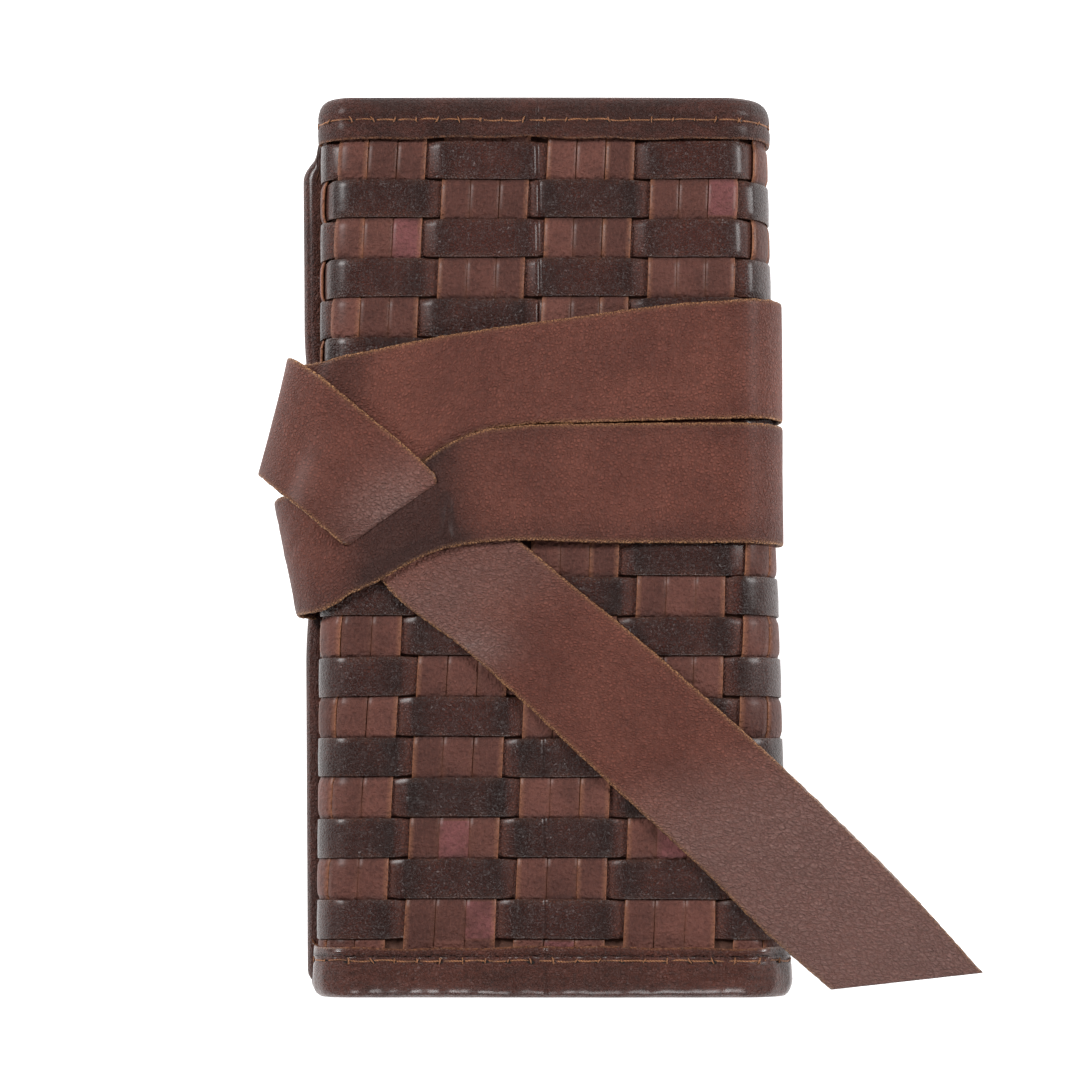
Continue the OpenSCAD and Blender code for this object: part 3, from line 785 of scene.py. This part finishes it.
class ROLL_OT_end_edges(bpy.types.Operator):
    """Fold the smooth edges on the sheet's outer and inner ends"""

    bl_idname = "brush_roll.end_edges"
    bl_label = "Outer and inner edge"

    def execute(self, context):
        e = context.scene.roll_edges
        for name, stretch, s_end, way, width, node in (
            ("outer_edge", STRETCHES[0], -3.6 * MM, 1, 9.0, "outer_end_binding"),
            ("inner_edge", STRETCHES[3], SHEET_END + 0.2 * MM, -1, 8.0, "inner_end_binding"),
        ):
            line = np.array([
                (width, 1.1), (width - 2, 1.25), (3.0, 1.3), (1.6, 1.2), (0.7, 0.7), (0.35, -0.1),
                (0.5, -1.0), (1.3, -1.9), (2.6, -2.25), (width, -2.3)])
            ring, edge = fold_ring(line, e.thickness / MM)
            y = np.linspace(-ROLL_HALF_L + BOTTOM_BIND - 2 * MM, ROLL_HALF_L - TOP_BIND + 2 * MM, 150)
            if way > 0:
                y = np.linspace(-ROLL_HALF_L + 1.2 * MM, ROLL_HALF_L - 1.2 * MM, 170)
            corner = corner_radius(y)
            into = np.clip(np.abs(y) - ROLL_HALF_L + 1.2 * MM + corner, 0, corner)
            round_off = (corner - np.sqrt(corner**2 - into**2)) * (way > 0)
            slant = 2.6 * MM * (0.5 - y / (2 * ROLL_HALF_L)) * (way > 0)
            s = s_end + way * ring[None, :, 0] * MM + (round_off + slant)[:, None]
            lumps = 0.1 * np.sin(y * 120)[:, None] * MM
            rings = on_sheet(s, y[:, None], ring[None, :, 1] * MM + lumps)
            parts = MeshParts()
            coords = np.stack(np.broadcast_arrays(y[:, None], s), -1)
            # light painted sheen with real gloss on the folded outer and inner edges
            parts.add(rings, coords, edge=edge[None, :] * 0.5, gloss=0.35)
            piece = parts.build(name, finish("binding"))
            fix_to(piece, stretch.body_a if way > 0 else stretch.body_b, "binding_leather", node)
        return {"FINISHED"}


def tube(points, radius, sides=8):
    """Rings of a round thread along points (n, 3), thinner at both ends."""
    run = np.gradient(points, axis=0)
    run /= np.linalg.norm(run, axis=1)[:, None] + 1e-12
    helper = np.array([0.31, 0.17, 0.93])
    side = np.cross(run, helper)
    side /= np.linalg.norm(side, axis=1)[:, None] + 1e-12
    up = np.cross(side, run)
    turn = np.linspace(0, 2 * math.pi, sides, endpoint=False)
    radius = np.broadcast_to(radius, len(points))[:, None, None]
    return points[:, None, :] + radius * (
        np.cos(turn)[None, :, None] * side[:, None, :] + np.sin(turn)[None, :, None] * up[:, None, :])


def build_thread(e, stretch, side, face, parts, holes):
    """One line of hand stitches with its knots and a dark disc of painted shade at each hole. face is 1
    outside and -1 inside.
    """
    stitch = (e.stitch_in if side > 0 else e.stitch_low) / MM
    low, high = stretch.low, stretch.high
    first, last = math.ceil((low + 0.2 * MM) / e.stitch), math.floor((high - 0.2 * MM) / e.stitch)
    surface = (1.12 + e.thickness / MM / 2 - 0.06) if face > 0 else -(2.5 + e.thickness / MM / 2)
    dice = random.Random(int(side * 31 + face * 7 + low * 1e5))
    for k in range(first, last + 1):
        s0 = k * e.stitch
        if not 2 * MM < s0 < SHEET_END - 2 * MM:
            continue
        y0 = side * (ROLL_HALF_L - stitch * MM)
        drift = dice.uniform(-0.3, 0.3) * MM
        length_share = dice.uniform(0.8, 0.98)
        t = np.linspace(0, 1, 12)
        s = s0 + t * e.stitch * length_share
        inside = s < high + 2 * MM
        if inside.sum() > 3:
            lift = np.sin(math.pi * t) ** 0.6 * 0.22 - 0.16 + 0.05 * np.sin(9 * t + k)
            y = y0 + drift * np.sin(math.pi * t) + dice.uniform(-0.1, 0.1) * MM
            line = on_sheet(s, y, (surface + face * lift) * MM)[inside]
            rings = tube(line, e.thread * dice.uniform(0.85, 1.2))
            round_thread = np.linspace(0, 1.2 * MM, 8)[None, :]
            coords = np.stack(np.broadcast_arrays(s[inside, None], round_thread), -1)
            parts.add(rings, coords, edge=0.0)
        for _ in range(dice.choice((1, 1, 2, 2))):
            angle = dice.uniform(0.9, 2.3)
            reach = dice.uniform(0.35, 1.0) * MM
            t = np.linspace(-1, 1, 6) * reach
            curve = dice.uniform(-0.3, 0.3)
            tuft = on_sheet(s0 + t * math.cos(angle) + curve * t * t / MM, y0 + t * math.sin(angle),
                            (surface + face * (0.12 + 0.12 * np.abs(t) / reach)) * MM)
            rings = tube(tuft, e.thread * np.array([0.35, 0.8, 1, 1, 0.8, 0.35]), 6)
            coords = np.stack(np.broadcast_arrays(t[:, None], np.linspace(0, MM, 6)[None, :]), -1)
            parts.add(rings, coords, edge=0.0)
        # dark disc of painted shade at the stitch hole
        turn = np.linspace(0, 2 * math.pi, 9)[:-1]
        size = dice.uniform(0.4, 0.7) * MM * (1.0 if side > 0 else 1.35)
        hole_s, hole_y = s0 + size * 1.3 * np.cos(turn), y0 - 0.25 * MM + size * 0.75 * np.sin(turn + 0.4)
        ring_low = on_sheet(hole_s, hole_y, (surface - face * 0.3) * MM)
        ring_high = on_sheet(hole_s, hole_y, (surface + face * 0.05) * MM)
        holes.add(np.stack([ring_low, ring_high]), np.zeros((2, 8, 2)) + s0, edge=0.0)


class ROLL_OT_stitches(bpy.types.Operator):
    """Sew both end bindings with orange-tan thread"""

    bl_idname = "brush_roll.stitches"
    bl_label = "Stitching"

    def execute(self, context):
        e = context.scene.roll_edges
        for stretch in STRETCHES:
            thread, holes = MeshParts(), MeshParts()
            for side in (1, -1):
                for face in (1, -1):
                    build_thread(e, stretch, side, face, thread, holes)
            piece = thread.build(f"{stretch.name}_thread", finish("thread"))
            place_on_stretch(piece, stretch, "stitching")
            # dark discs of painted shade at the stitch holes
            holes_piece = holes.build(f"{stretch.name}_holes", finish("hole_shade"))
            place_on_stretch(holes_piece, stretch)
        return {"FINISHED"}


# ------------------------------------------------------------------ pockets
class ROLL_OT_pockets(bpy.types.Operator):
    """Sew the brush pockets to the lining, with their hems and seams"""

    bl_idname = "brush_roll.pockets"
    bl_label = "Brush pockets"

    def execute(self, context):
        for side, body, out in (("back", "back_panel", 1), ("front", "front_panel", -1)):
            low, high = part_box(f"{side}_pocket")
            seam_low, seam_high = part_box(f"{side}_pocket_seams")
            base = low.z if out > 0 else high.z
            seams = round((seam_high.x - seam_low.x - 0.8 * MM) / (18 * MM))
            pitch = (seam_high.x - seam_low.x - 0.8 * MM) / seams
            x = np.linspace(low.x, high.x, 120)
            from_seam = (x - seam_low.x - 0.4 * MM) / pitch
            puff = np.abs(np.sin(math.pi * from_seam)) ** 0.7
            y = np.linspace(low.y, high.y, 70)
            share = (y - low.y) / (high.y - low.y)
            lift = 0.42 * MM * puff[None, :] * smooth(share * 3)[:, None]
            top = np.stack([np.broadcast_to(x, lift.shape), np.broadcast_to(y[:, None], lift.shape),
                            base + out * (0.55 * MM + lift)], -1)
            bottom = top - np.array([0, 0, out * 0.5 * MM])
            rings = np.concatenate([top, bottom[:, ::-1]], axis=1)
            parts = MeshParts()
            edge = np.zeros(rings.shape[:2])
            edge[:, [0, 119, 120, 239]] = 1
            parts.add(rings, rings[..., :2], edge=edge)
            piece = parts.build(f"{side}_pockets", finish("lining"))
            fix_to(piece, body, "lining_leather", f"{side}_pocket")
            hem_low, hem_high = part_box(f"{side}_pocket_hem")
            t = np.linspace(0, 2 * math.pi, 15)[:-1]
            hem_y = (hem_low.y + hem_high.y) / 2 + 3.2 * MM * np.cos(t)
            hem_h = 0.55 * MM + 0.5 * MM * np.sign(np.sin(t)) * np.abs(np.sin(t)) ** 0.5
            hem = np.stack([np.broadcast_to(x[:, None], (120, 14)), np.broadcast_to(hem_y, (120, 14)),
                            base + out * (hem_h[None, :] + 0.4 * lift[-1][:, None])], -1)
            hem_parts = MeshParts()
            # faint painted sheen with real gloss on the pocket hem
            hem_parts.add(hem, hem[..., :2], edge=0.0, gloss=0.2)
            hem_piece = hem_parts.build(f"{side}_pocket_edge", finish("binding"))
            fix_to(hem_piece, body, "binding_leather", f"{side}_pocket_hem")
            seam_parts = MeshParts()
            for k in range(seams + 1):
                x0 = seam_low.x + 0.4 * MM + k * pitch
                for y0 in np.arange(seam_low.y, seam_high.y - 3 * MM, 4 * MM):
                    u = np.linspace(0, 1, 8)
                    line = np.stack([x0 + 0.15 * MM * np.sin(7 * u + y0 * 900), y0 + u * 3.3 * MM,
                                     base + out * (0.6 + 0.18 * np.sin(math.pi * u)) * MM], -1)
                    rings = tube(line, 0.2 * MM, 6)
                    seam_parts.add(rings, rings[..., 1::-1], edge=0.0)
            seam_piece = seam_parts.build(f"{side}_pocket_thread", finish("thread"))
            fix_to(seam_piece, body, "thread", f"{side}_pocket_seams")
        return {"FINISHED"}


# ------------------------------------------------------------------ the tie
def resample(points, count):
    """Points spaced evenly along a smooth curve through given ones."""
    points = np.asarray(points, float)
    gaps = np.linalg.norm(np.diff(points, axis=0), axis=1)
    at = np.concatenate([[0], np.cumsum(np.sqrt(gaps))])
    slopes = np.gradient(points, at, axis=0)
    u = np.linspace(0, at[-1], count * 4)
    seg = np.clip(np.searchsorted(at, u, side="right") - 1, 0, len(at) - 2)
    width = (at[seg + 1] - at[seg])[:, None]
    t = ((u - at[seg]) / (at[seg + 1] - at[seg]))[:, None]
    a, b, ma, mb = points[seg], points[seg + 1], slopes[seg] * width, slopes[seg + 1] * width
    curve = ((2 * t**3 - 3 * t**2 + 1) * a + (t**3 - 2 * t**2 + t) * ma
             + (-2 * t**3 + 3 * t**2) * b + (t**3 - t**2) * mb)
    run = np.concatenate([[0], np.cumsum(np.linalg.norm(np.diff(curve, axis=0), axis=1))])
    even = np.linspace(0, run[-1], count)
    return np.stack([np.interp(even, run, curve[:, k]) for k in range(3)], -1)


def edge_curve(places, count):
    """Even points along one edge of the tie, from places in mm right of, along and above the middle."""
    return resample(np.array(places) * MM + np.array([MIDDLE_X, 0, 0]), count)


def hoop(u, left_x, radius):
    """A loop round the roll: 0-1 along the back, 1-2 up the right, 2-3 along the front, 3-4 down the left."""
    u = np.asarray(u, float)
    span = RIGHT_X - left_x
    where = [u < 1, u < 2, u < 3]
    right, left = math.pi * (u - 1), math.pi * (u - 3)
    x_right, x_left = RIGHT_X + radius * np.sin(right), left_x - radius * np.sin(left)
    x = np.select(where, [left_x + span * u, x_right, RIGHT_X - span * (u - 2)], x_left)
    z_right, z_left = BEND_R - radius * np.cos(right), BEND_R + radius * np.cos(left)
    z = np.select(where, [BEND_R - radius + 0 * u, z_right, BEND_R + radius + 0 * u], z_left)
    late = u > 4
    x = np.where(late, left_x + span * (u - 4), x)
    z = np.where(late, BEND_R - radius, z)
    return x, z


def on_front(x):
    """Place round the hoop of a point on the front, x mm to the right of the middle."""
    return 2 + (RIGHT_X / MM - MIDDLE_X / MM - x) / ((RIGHT_X - MIDDLE_X) / MM + 52)


def eased(u, table):
    """A smooth value between given (place, value) pairs."""
    at, values = np.array(table).T
    slopes = np.gradient(values, at)
    seg = np.clip(np.searchsorted(at, u, side="right") - 1, 0, len(at) - 2)
    width = at[seg + 1] - at[seg]
    t = np.clip((u - at[seg]) / width, 0, 1)
    return ((2 * t**3 - 3 * t**2 + 1) * values[seg] + (t**3 - 2 * t**2 + t) * slopes[seg] * width
            + (-2 * t**3 + 3 * t**2) * values[seg + 1] + (t**3 - t**2) * slopes[seg + 1] * width)


def ribbon(tie, low_edge, high_edge, name, wrinkle=None, shade=None, painted_sheen=None, seed=1.0, across=30):
    """A leather band between two edge curves (n, 3), with thickness, fuzzy cut edges and wrinkles."""
    a = np.concatenate([[0, 0.008, 0.024], np.linspace(0.05, 0.95, across - 6), [0.976, 0.992, 1]])
    middle = low_edge[:, None, :] * (1 - a)[None, :, None] + high_edge[:, None, :] * a[None, :, None]
    along = np.gradient(middle, axis=0)
    side = np.gradient(middle, axis=1)
    normal = np.cross(along, side)
    normal /= np.linalg.norm(normal, axis=2)[:, :, None] + 1e-12
    steps = np.linalg.norm(np.diff(middle[:, across // 2], axis=0), axis=1)
    distance = np.concatenate([[0], np.cumsum(steps)])
    wide = np.linalg.norm(high_edge - low_edge, axis=1)
    coords = np.stack(np.broadcast_arrays(distance[:, None] + seed, a[None, :] * wide[:, None]), -1)
    flat = np.concatenate([coords, np.zeros_like(coords[..., :1])], -1)
    lift = 0.10 * MM * soft_noise(flat, 70, seed)
    if wrinkle is not None:
        lift = lift + wrinkle(distance[:, None], a[None, :], flat)
    middle = middle + normal * lift[..., None]
    edge_wander = tie.fuzz * soft_noise(flat, 900, seed + 5)
    side_unit = side / (np.linalg.norm(side, axis=2)[:, :, None] + 1e-12)
    near = np.exp(-np.minimum(a, 1 - a) / 0.01)[None, :]
    middle = middle + side_unit * (edge_wander * near)[..., None]
    from_side = np.minimum(a, 1 - a)
    rounding = (1 - np.clip(from_side / 0.02, 0, 1)) ** 2 * 0.85
    half = tie.thickness / 2 * np.sqrt(np.clip(1 - rounding, 0, 1))
    top = middle + normal * half[None, :, None]
    bottom = middle - normal * half[None, :, None]
    rings = np.concatenate([top, bottom[:, ::-1]], axis=1)
    mask = np.exp(-(from_side / 0.019) ** 2)
    doubled = np.concatenate([mask, mask[::-1]])
    parts = MeshParts()
    extra = {}
    # masks of painted shade and painted sheen, the same on both faces of the band
    for word, function in (("shade", shade), ("painted_sheen", painted_sheen)):
        value = function(distance[:, None], a[None, :]) if function else np.zeros((len(distance), across))
        value = np.broadcast_to(value, (len(distance), across))
        extra[word] = np.concatenate([value, value[:, ::-1]], axis=1)
    both = np.concatenate([coords, coords[:, ::-1]], axis=1)
    parts.add(rings, both, edge=doubled[None, :] * np.ones((len(distance), 1)), **extra)
    return parts.build(name, finish("tie"))


def wrap(tie, name, start, end, low, high, layer, left_low, left_high, **looks):
    """One turn of the tie. Its two edges are given as (place round the hoop, mm along the roll)."""
    count = int(abs(end - start) * 125)
    u = np.linspace(start, end, count)
    edges = []
    for table, left in ((low, left_low), (high, left_high)):
        radius = BEND_R - 2.6 * MM + eased(u, layer) * MM
        x, z = hoop(u, MIDDLE_X + left * MM, radius)
        edges.append(np.stack([x, eased(u, table) * MM, z], -1))
    return ribbon(tie, edges[0], edges[1], name, **looks)


def fine_creases(amount, scale, turn):
    """Wrinkle function: soft creases across one direction."""
    def wrinkle(distance, a, flat):
        turned = flat.copy()
        turned[..., 0] = flat[..., 0] * math.cos(turn) + flat[..., 1] * math.sin(turn)
        turned[..., 1] = (flat[..., 1] * math.cos(turn) - flat[..., 0] * math.sin(turn)) * 0.25
        return amount * MM * soft_noise(turned, scale, 2.0)
    return wrinkle


class ROLL_OT_tie_wraps(bpy.types.Operator):
    """Wrap the tie twice round the roll"""

    bl_idname = "brush_roll.tie_wraps"
    bl_label = "Tie wraps"

    def execute(self, context):
        tie = context.scene.roll_tie
        lower = wrap(
            tie, "tie_lower_band", 0.97, 4.25,
            low=[(0.9, 0.3), (2.0, -0.4), (on_front(12), -0.4), (on_front(-12), 0.0),
                 (on_front(-22), -0.9), (on_front(-30), -2.7), (on_front(-37), -5.8),
                 (on_front(-45), -10.3), (3.02, -14), (3.5, -17.8), (4.0, -18), (4.3, -18)],
            high=[(0.9, 29.8), (2.0, 29.8), (on_front(13), 29.5), (on_front(-6), 28.8),
                  (on_front(-16), 27.2), (on_front(-24), 23.4), (on_front(-31), 18), (3.02, 14),
                  (3.5, 11), (4.0, 9.5), (4.3, 9.5)],
            layer=[(0.9, 0.9), (2.0, 0.95), (2.2, 1.0), (on_front(10), 1.3), (on_front(-12), 2.3),
                   (on_front(-40), 2.3), (3.05, 1.6), (3.4, 1.0), (4.3, 0.9)],
            left_low=-49.5, left_high=-55.5, seed=0.31,
            wrinkle=lambda d, a, flat: (
                fine_creases(0.12, 500, 0.9)(d, a, flat) * (0.4 + smooth((d - 0.085) / 0.02))
                - 0.9 * MM * bump_at(d, 0.1175 + 0.0012 * np.sin(9 * a), 0.0012)
                * smooth((0.62 - a) / 0.2) * smooth(a / 0.15)
                + 0.45 * MM * bump_at(d, 0.1150, 0.0022) * smooth((0.62 - a) / 0.2)),
            shade=lambda d, a: (0.4 * smooth((0.3 - a) / 0.3) + 0.25 * smooth((a - 0.8) / 0.2)
                                + 0.75 * smooth((d - 0.106) / 0.014) * smooth((0.150 - d) / 0.012)
                                + 0.12 * smooth((d - 0.07) / 0.04)
                                + 0.8 * bump_at(d, 0.1175, 0.0013) * smooth((0.62 - a) / 0.2)))
        upper = wrap(
            tie, "tie_upper_band", 0.99, 4.02,
            low=[(0.9, 31.2), (2.0, 30.8), (on_front(13), 29.8), (on_front(-6), 28.9),
                 (on_front(-15), 27.2), (on_front(-23), 23.2), (on_front(-30), 18.6), (3.0, 17),
                 (3.5, 16.5), (4.1, 16)],
            high=[(0.9, 60.8), (2.0, 60.7), (on_front(37), 60.2), (on_front(3), 56),
                  (on_front(-27), 51.6), (3.05, 46), (3.5, 45), (4.1, 45)],
            layer=[(0.9, 0.9), (2.0, 0.95), (2.4, 1.1), (2.9, 1.2), (3.3, 0.9), (4.1, 0.85)],
            left_low=-56.5, left_high=-51.5, seed=0.77,
            wrinkle=fine_creases(0.05, 420, 0.2),
            shade=lambda d, a: (0.45 * smooth((0.1 - a) / 0.1) * smooth((d - 0.08) / 0.03)
                                + 0.5 * smooth((d - 0.132) / 0.01)))
        first = wrap(
            tie, "tie_back_band_one", 0.0, 1.0,
            low=[(-0.1, 16), (0.3, 12), (0.8, 3), (1.0, 0.5)],
            high=[(-0.1, 45), (0.3, 41), (0.8, 32), (1.0, 29.8)],
            layer=[(-0.1, 0.85), (1.0, 0.9)], left_low=-56.5, left_high=-51.5, seed=1.3)
        second = wrap(
            tie, "tie_back_band_two", 0.0, 1.0,
            low=[(-0.1, 18), (0.3, 21), (0.8, 29), (1.0, 31.2)],
            high=[(-0.1, 46), (0.3, 49.5), (0.8, 58.5), (1.0, 60.8)],
            layer=[(-0.1, 1.95), (0.75, 1.95), (1.0, 0.9)], left_low=-58, left_high=-52, seed=1.9)
        for piece, nodes in ((lower, ("tie_lower_wrap", "tie_sewn_end")), (upper, ("tie_upper_wrap",)),
                             (first, ("tie_first_back_crossing",)), (second, ("tie_second_back_crossing",))):
            fix_to(piece, "tie", "tie_leather", *nodes)
        return {"FINISHED"}


class ROLL_OT_tie_tab(bpy.types.Operator):
    """Lay the tie's last turn across both wraps and down into its slit"""

    bl_idname = "brush_roll.tie_tab"
    bl_label = "Tie tab"

    def execute(self, context):
        tie = context.scene.roll_tie
        low = [(-50, 18, 1.0), (-58, 18, 1.0), (-66, 18, 3.0), (-71.5, 18, 8.0), (-73.4, 18, 14),
               (-71.8, 16.4, 21), (-67.5, 12.4, 27.6), (-62, 8.0, 30.8), (-57.2, 4, 31.6),
               (-52.6, 0.2, 31.4), (-51.1, -1.2, 30.6), (-51.2, -1.0, 29.2)]
        high = [(-42, 46, 1.0), (-50, 46, 1.0), (-58, 46.6, 3.0), (-63.2, 47.3, 8.0), (-65.4, 47.6, 14),
                (-65.6, 47.2, 20.5), (-63.4, 45.8, 26.6), (-57.5, 41.6, 30.9), (-48, 33.8, 31.8),
                (-36, 23.8, 31.7), (-28.8, 17.0, 31.8), (-27.4, 15.3, 31.1), (-27.6, 15.4, 29.4)]
        count = 120
        low_edge, high_edge = edge_curve(low, count), edge_curve(high, count)
        # the folded end has rounded corners
        left_over = np.linspace(0.090, 0, count)
        radius = 4 * MM
        pull = radius - np.sqrt(radius**2 - np.clip(radius - left_over, 0, radius) ** 2)
        toward = high_edge - low_edge
        toward /= np.linalg.norm(toward, axis=1)[:, None]
        low_edge, high_edge = low_edge + toward * pull[:, None], high_edge - toward * pull[:, None]
        piece = ribbon(
            tie, low_edge, high_edge, "tie_tab_band", seed=2.4,
            wrinkle=fine_creases(0.05, 500, 1.2),
            shade=lambda d, a: 0.25 * smooth((0.3 - a) / 0.3) + 0 * d,
            # painted sheen near the folded lower-right end of the tab
            painted_sheen=lambda d, a: 0.95 * bump_at(d, 0.079, 0.009) * bump_at(a, 0.55, 0.45))
        fix_to(piece, "tie", "tie_leather", "tie_tab")
        return {"FINISHED"}


class ROLL_OT_tie_tail(bpy.types.Operator):
    """Bring the tie's tail out from under the lower wrap and over the right edge"""

    bl_idname = "brush_roll.tie_tail"
    bl_label = "Tie tail"

    def execute(self, context):
        tie = context.scene.roll_tie
        left = [(-52, 1.0, 28.9), (-48, -2.5, 28.9), (-43.5, -7.5, 28.9), (-37.5, -14.5, 28.9),
                (-21, -27, 28.9), (-6, -40.5, 28.95), (12, -57.5, 28.9), (37.5, -81, 28.9),
                (52.5, -96, 28.2), (69.6, -111, 25.5)]
        right = [(-28.6, 15.8, 28.9), (-19, 9.5, 28.9), (-9.5, 2, 28.9), (2.5, -8.2, 28.95),
                 (22.8, -24.8, 29.0), (47.5, -46.6, 29.3), (63, -61, 29.2), (88.5, -86, 26.5),
                 (108, -107, 20.5)]
        count = 230
        left_edge, right_edge = edge_curve(left, count), edge_curve(right, count)
        piece = ribbon(
            tie, left_edge, right_edge, "tie_tail_band", seed=3.3, across=34,
            wrinkle=lambda d, a, flat: (
                fine_creases(0.12, 420, 0.7)(d, a, flat) * smooth((d - 0.09) / 0.03)
                + 0.32 * MM * soft_noise(flat * np.array([2.2, 0.7, 1.0]), 240, 9.0) * bump_at(d, 0.03, 0.022)
                - 0.9 * MM * bump_at(d, 0.040, 0.006) * bump_at(a, 0.02, 0.12)
                + 0.5 * MM * bump_at(d, 0.050, 0.006) * bump_at(a, 0.05, 0.2)),
            shade=lambda d, a: 0.35 * smooth((0.012 - d) / 0.012) + 0 * a,
            # painted sheen at the tail's root, on a crease near it, and along its far end
            painted_sheen=lambda d, a: (0.85 * smooth((d - 0.092) / 0.03)
                               + 0.7 * bump_at(d, 0.028, 0.012) * (1 - 0.5 * a)
                               + 0.9 * bump_at(d, 0.045, 0.007) * bump_at(a, 0.05, 0.25)))
        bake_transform(piece)
        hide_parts("tie_tail", "tie_slit_pass")
        return {"FINISHED"}


# ------------------------------------------------------------------ stage
def add_light(name, place, target, size, power):
    """A square area light that faces a target."""
    lamp = bpy.data.lights.new(name, "AREA")
    lamp.shape, lamp.size, lamp.energy = "SQUARE", size, power
    light = bpy.data.objects.new(name, lamp)
    light.location = place
    light.rotation_euler = (target - Vector(place)).to_track_quat("-Z", "Y").to_euler()
    bpy.context.scene.collection.objects.link(light)


class ROLL_OT_stage(bpy.types.Operator):
    """Set the pale floor, the soft light and the camera"""

    bl_idname = "brush_roll.stage"
    bl_label = "Stage"

    def execute(self, context):
        st = context.scene.roll_stage
        mesh = bpy.data.meshes.new("floor")
        corners = [(x * st.reach, y * st.reach, 0) for x, y in ((-1, -1), (1, -1), (1, 1), (-1, 1))]
        mesh.from_pydata(corners, [], [(0, 1, 2, 3)])
        floor = bpy.data.objects.new("floor", mesh)
        context.scene.collection.objects.link(floor)
        mesh.materials.append(finish("floor"))
        world = bpy.data.worlds.new("studio")
        context.scene.world = world
        world.use_nodes = True
        background = next(n for n in world.node_tree.nodes if n.type == "BACKGROUND")
        background.inputs["Color"].default_value = (1, 1, 1, 1)
        background.inputs["Strength"].default_value = st.sky
        middle = Vector((0, 0, 0.02))
        add_light("key", (-0.75, 0.5, 0.75), middle, 0.32, st.key_power)
        add_light("fill", (0.85, 0.35, 0.6), middle, 0.35, st.key_power * 0.75)
        add_light("front", (0.1, -0.95, 0.6), middle, 0.35, st.key_power * 0.45)
        camera = bpy.data.objects.new("camera", bpy.data.cameras.new("camera"))
        context.scene.collection.objects.link(camera)
        target = Vector((MIDDLE_X - 2.2 * MM, 0.4 * MM, ROLL_T - 2.6 * MM))
        back = Vector((0, -math.cos(st.elevation), math.sin(st.elevation)))
        camera.location = target + st.distance * back
        camera.rotation_euler = (-back).to_track_quat("-Z", "Y").to_euler()
        camera.data.sensor_width = 36
        camera.data.lens = 36 * st.distance / st.view_width
        camera.data.clip_start, camera.data.clip_end = 0.01, 20
        context.scene.camera = camera
        context.scene.view_settings.view_transform = "Standard"
        return {"FINISHED"}


class ROLL_PT_panel(bpy.types.Panel):
    """Sidebar list of the brush roll's steps"""

    bl_idname = "ROLL_PT_panel"
    bl_label = "Brush Roll"
    bl_space_type = "VIEW_3D"
    bl_region_type = "UI"
    bl_category = "Brush Roll"

    def draw(self, context):
        for step in STEPS:
            self.layout.operator(step.bl_idname)


SETTINGS = {"roll_weave": WeaveSettings, "roll_edges": EdgeSettings, "roll_tie": TieSettings,
            "roll_stage": StageSettings}
STEPS = (ROLL_OT_weft, ROLL_OT_warp, ROLL_OT_lining, ROLL_OT_bindings, ROLL_OT_end_edges, ROLL_OT_stitches,
         ROLL_OT_pockets, ROLL_OT_tie_wraps, ROLL_OT_tie_tab, ROLL_OT_tie_tail, ROLL_OT_stage)


def register():
    for group in (*SETTINGS.values(), *STEPS, ROLL_PT_panel):
        bpy.utils.register_class(group)
    for name, group in SETTINGS.items():
        setattr(bpy.types.Scene, name, bpy.props.PointerProperty(type=group))


def unregister():
    for name in SETTINGS:
        delattr(bpy.types.Scene, name)
    for group in reversed((*SETTINGS.values(), *STEPS, ROLL_PT_panel)):
        bpy.utils.unregister_class(group)


def main():
    """Runs every step in order."""
    register()
    for step in STEPS:
        group, name = step.bl_idname.split(".")
        getattr(getattr(bpy.ops, group), name)()


if __name__ == "__main__":
    main()
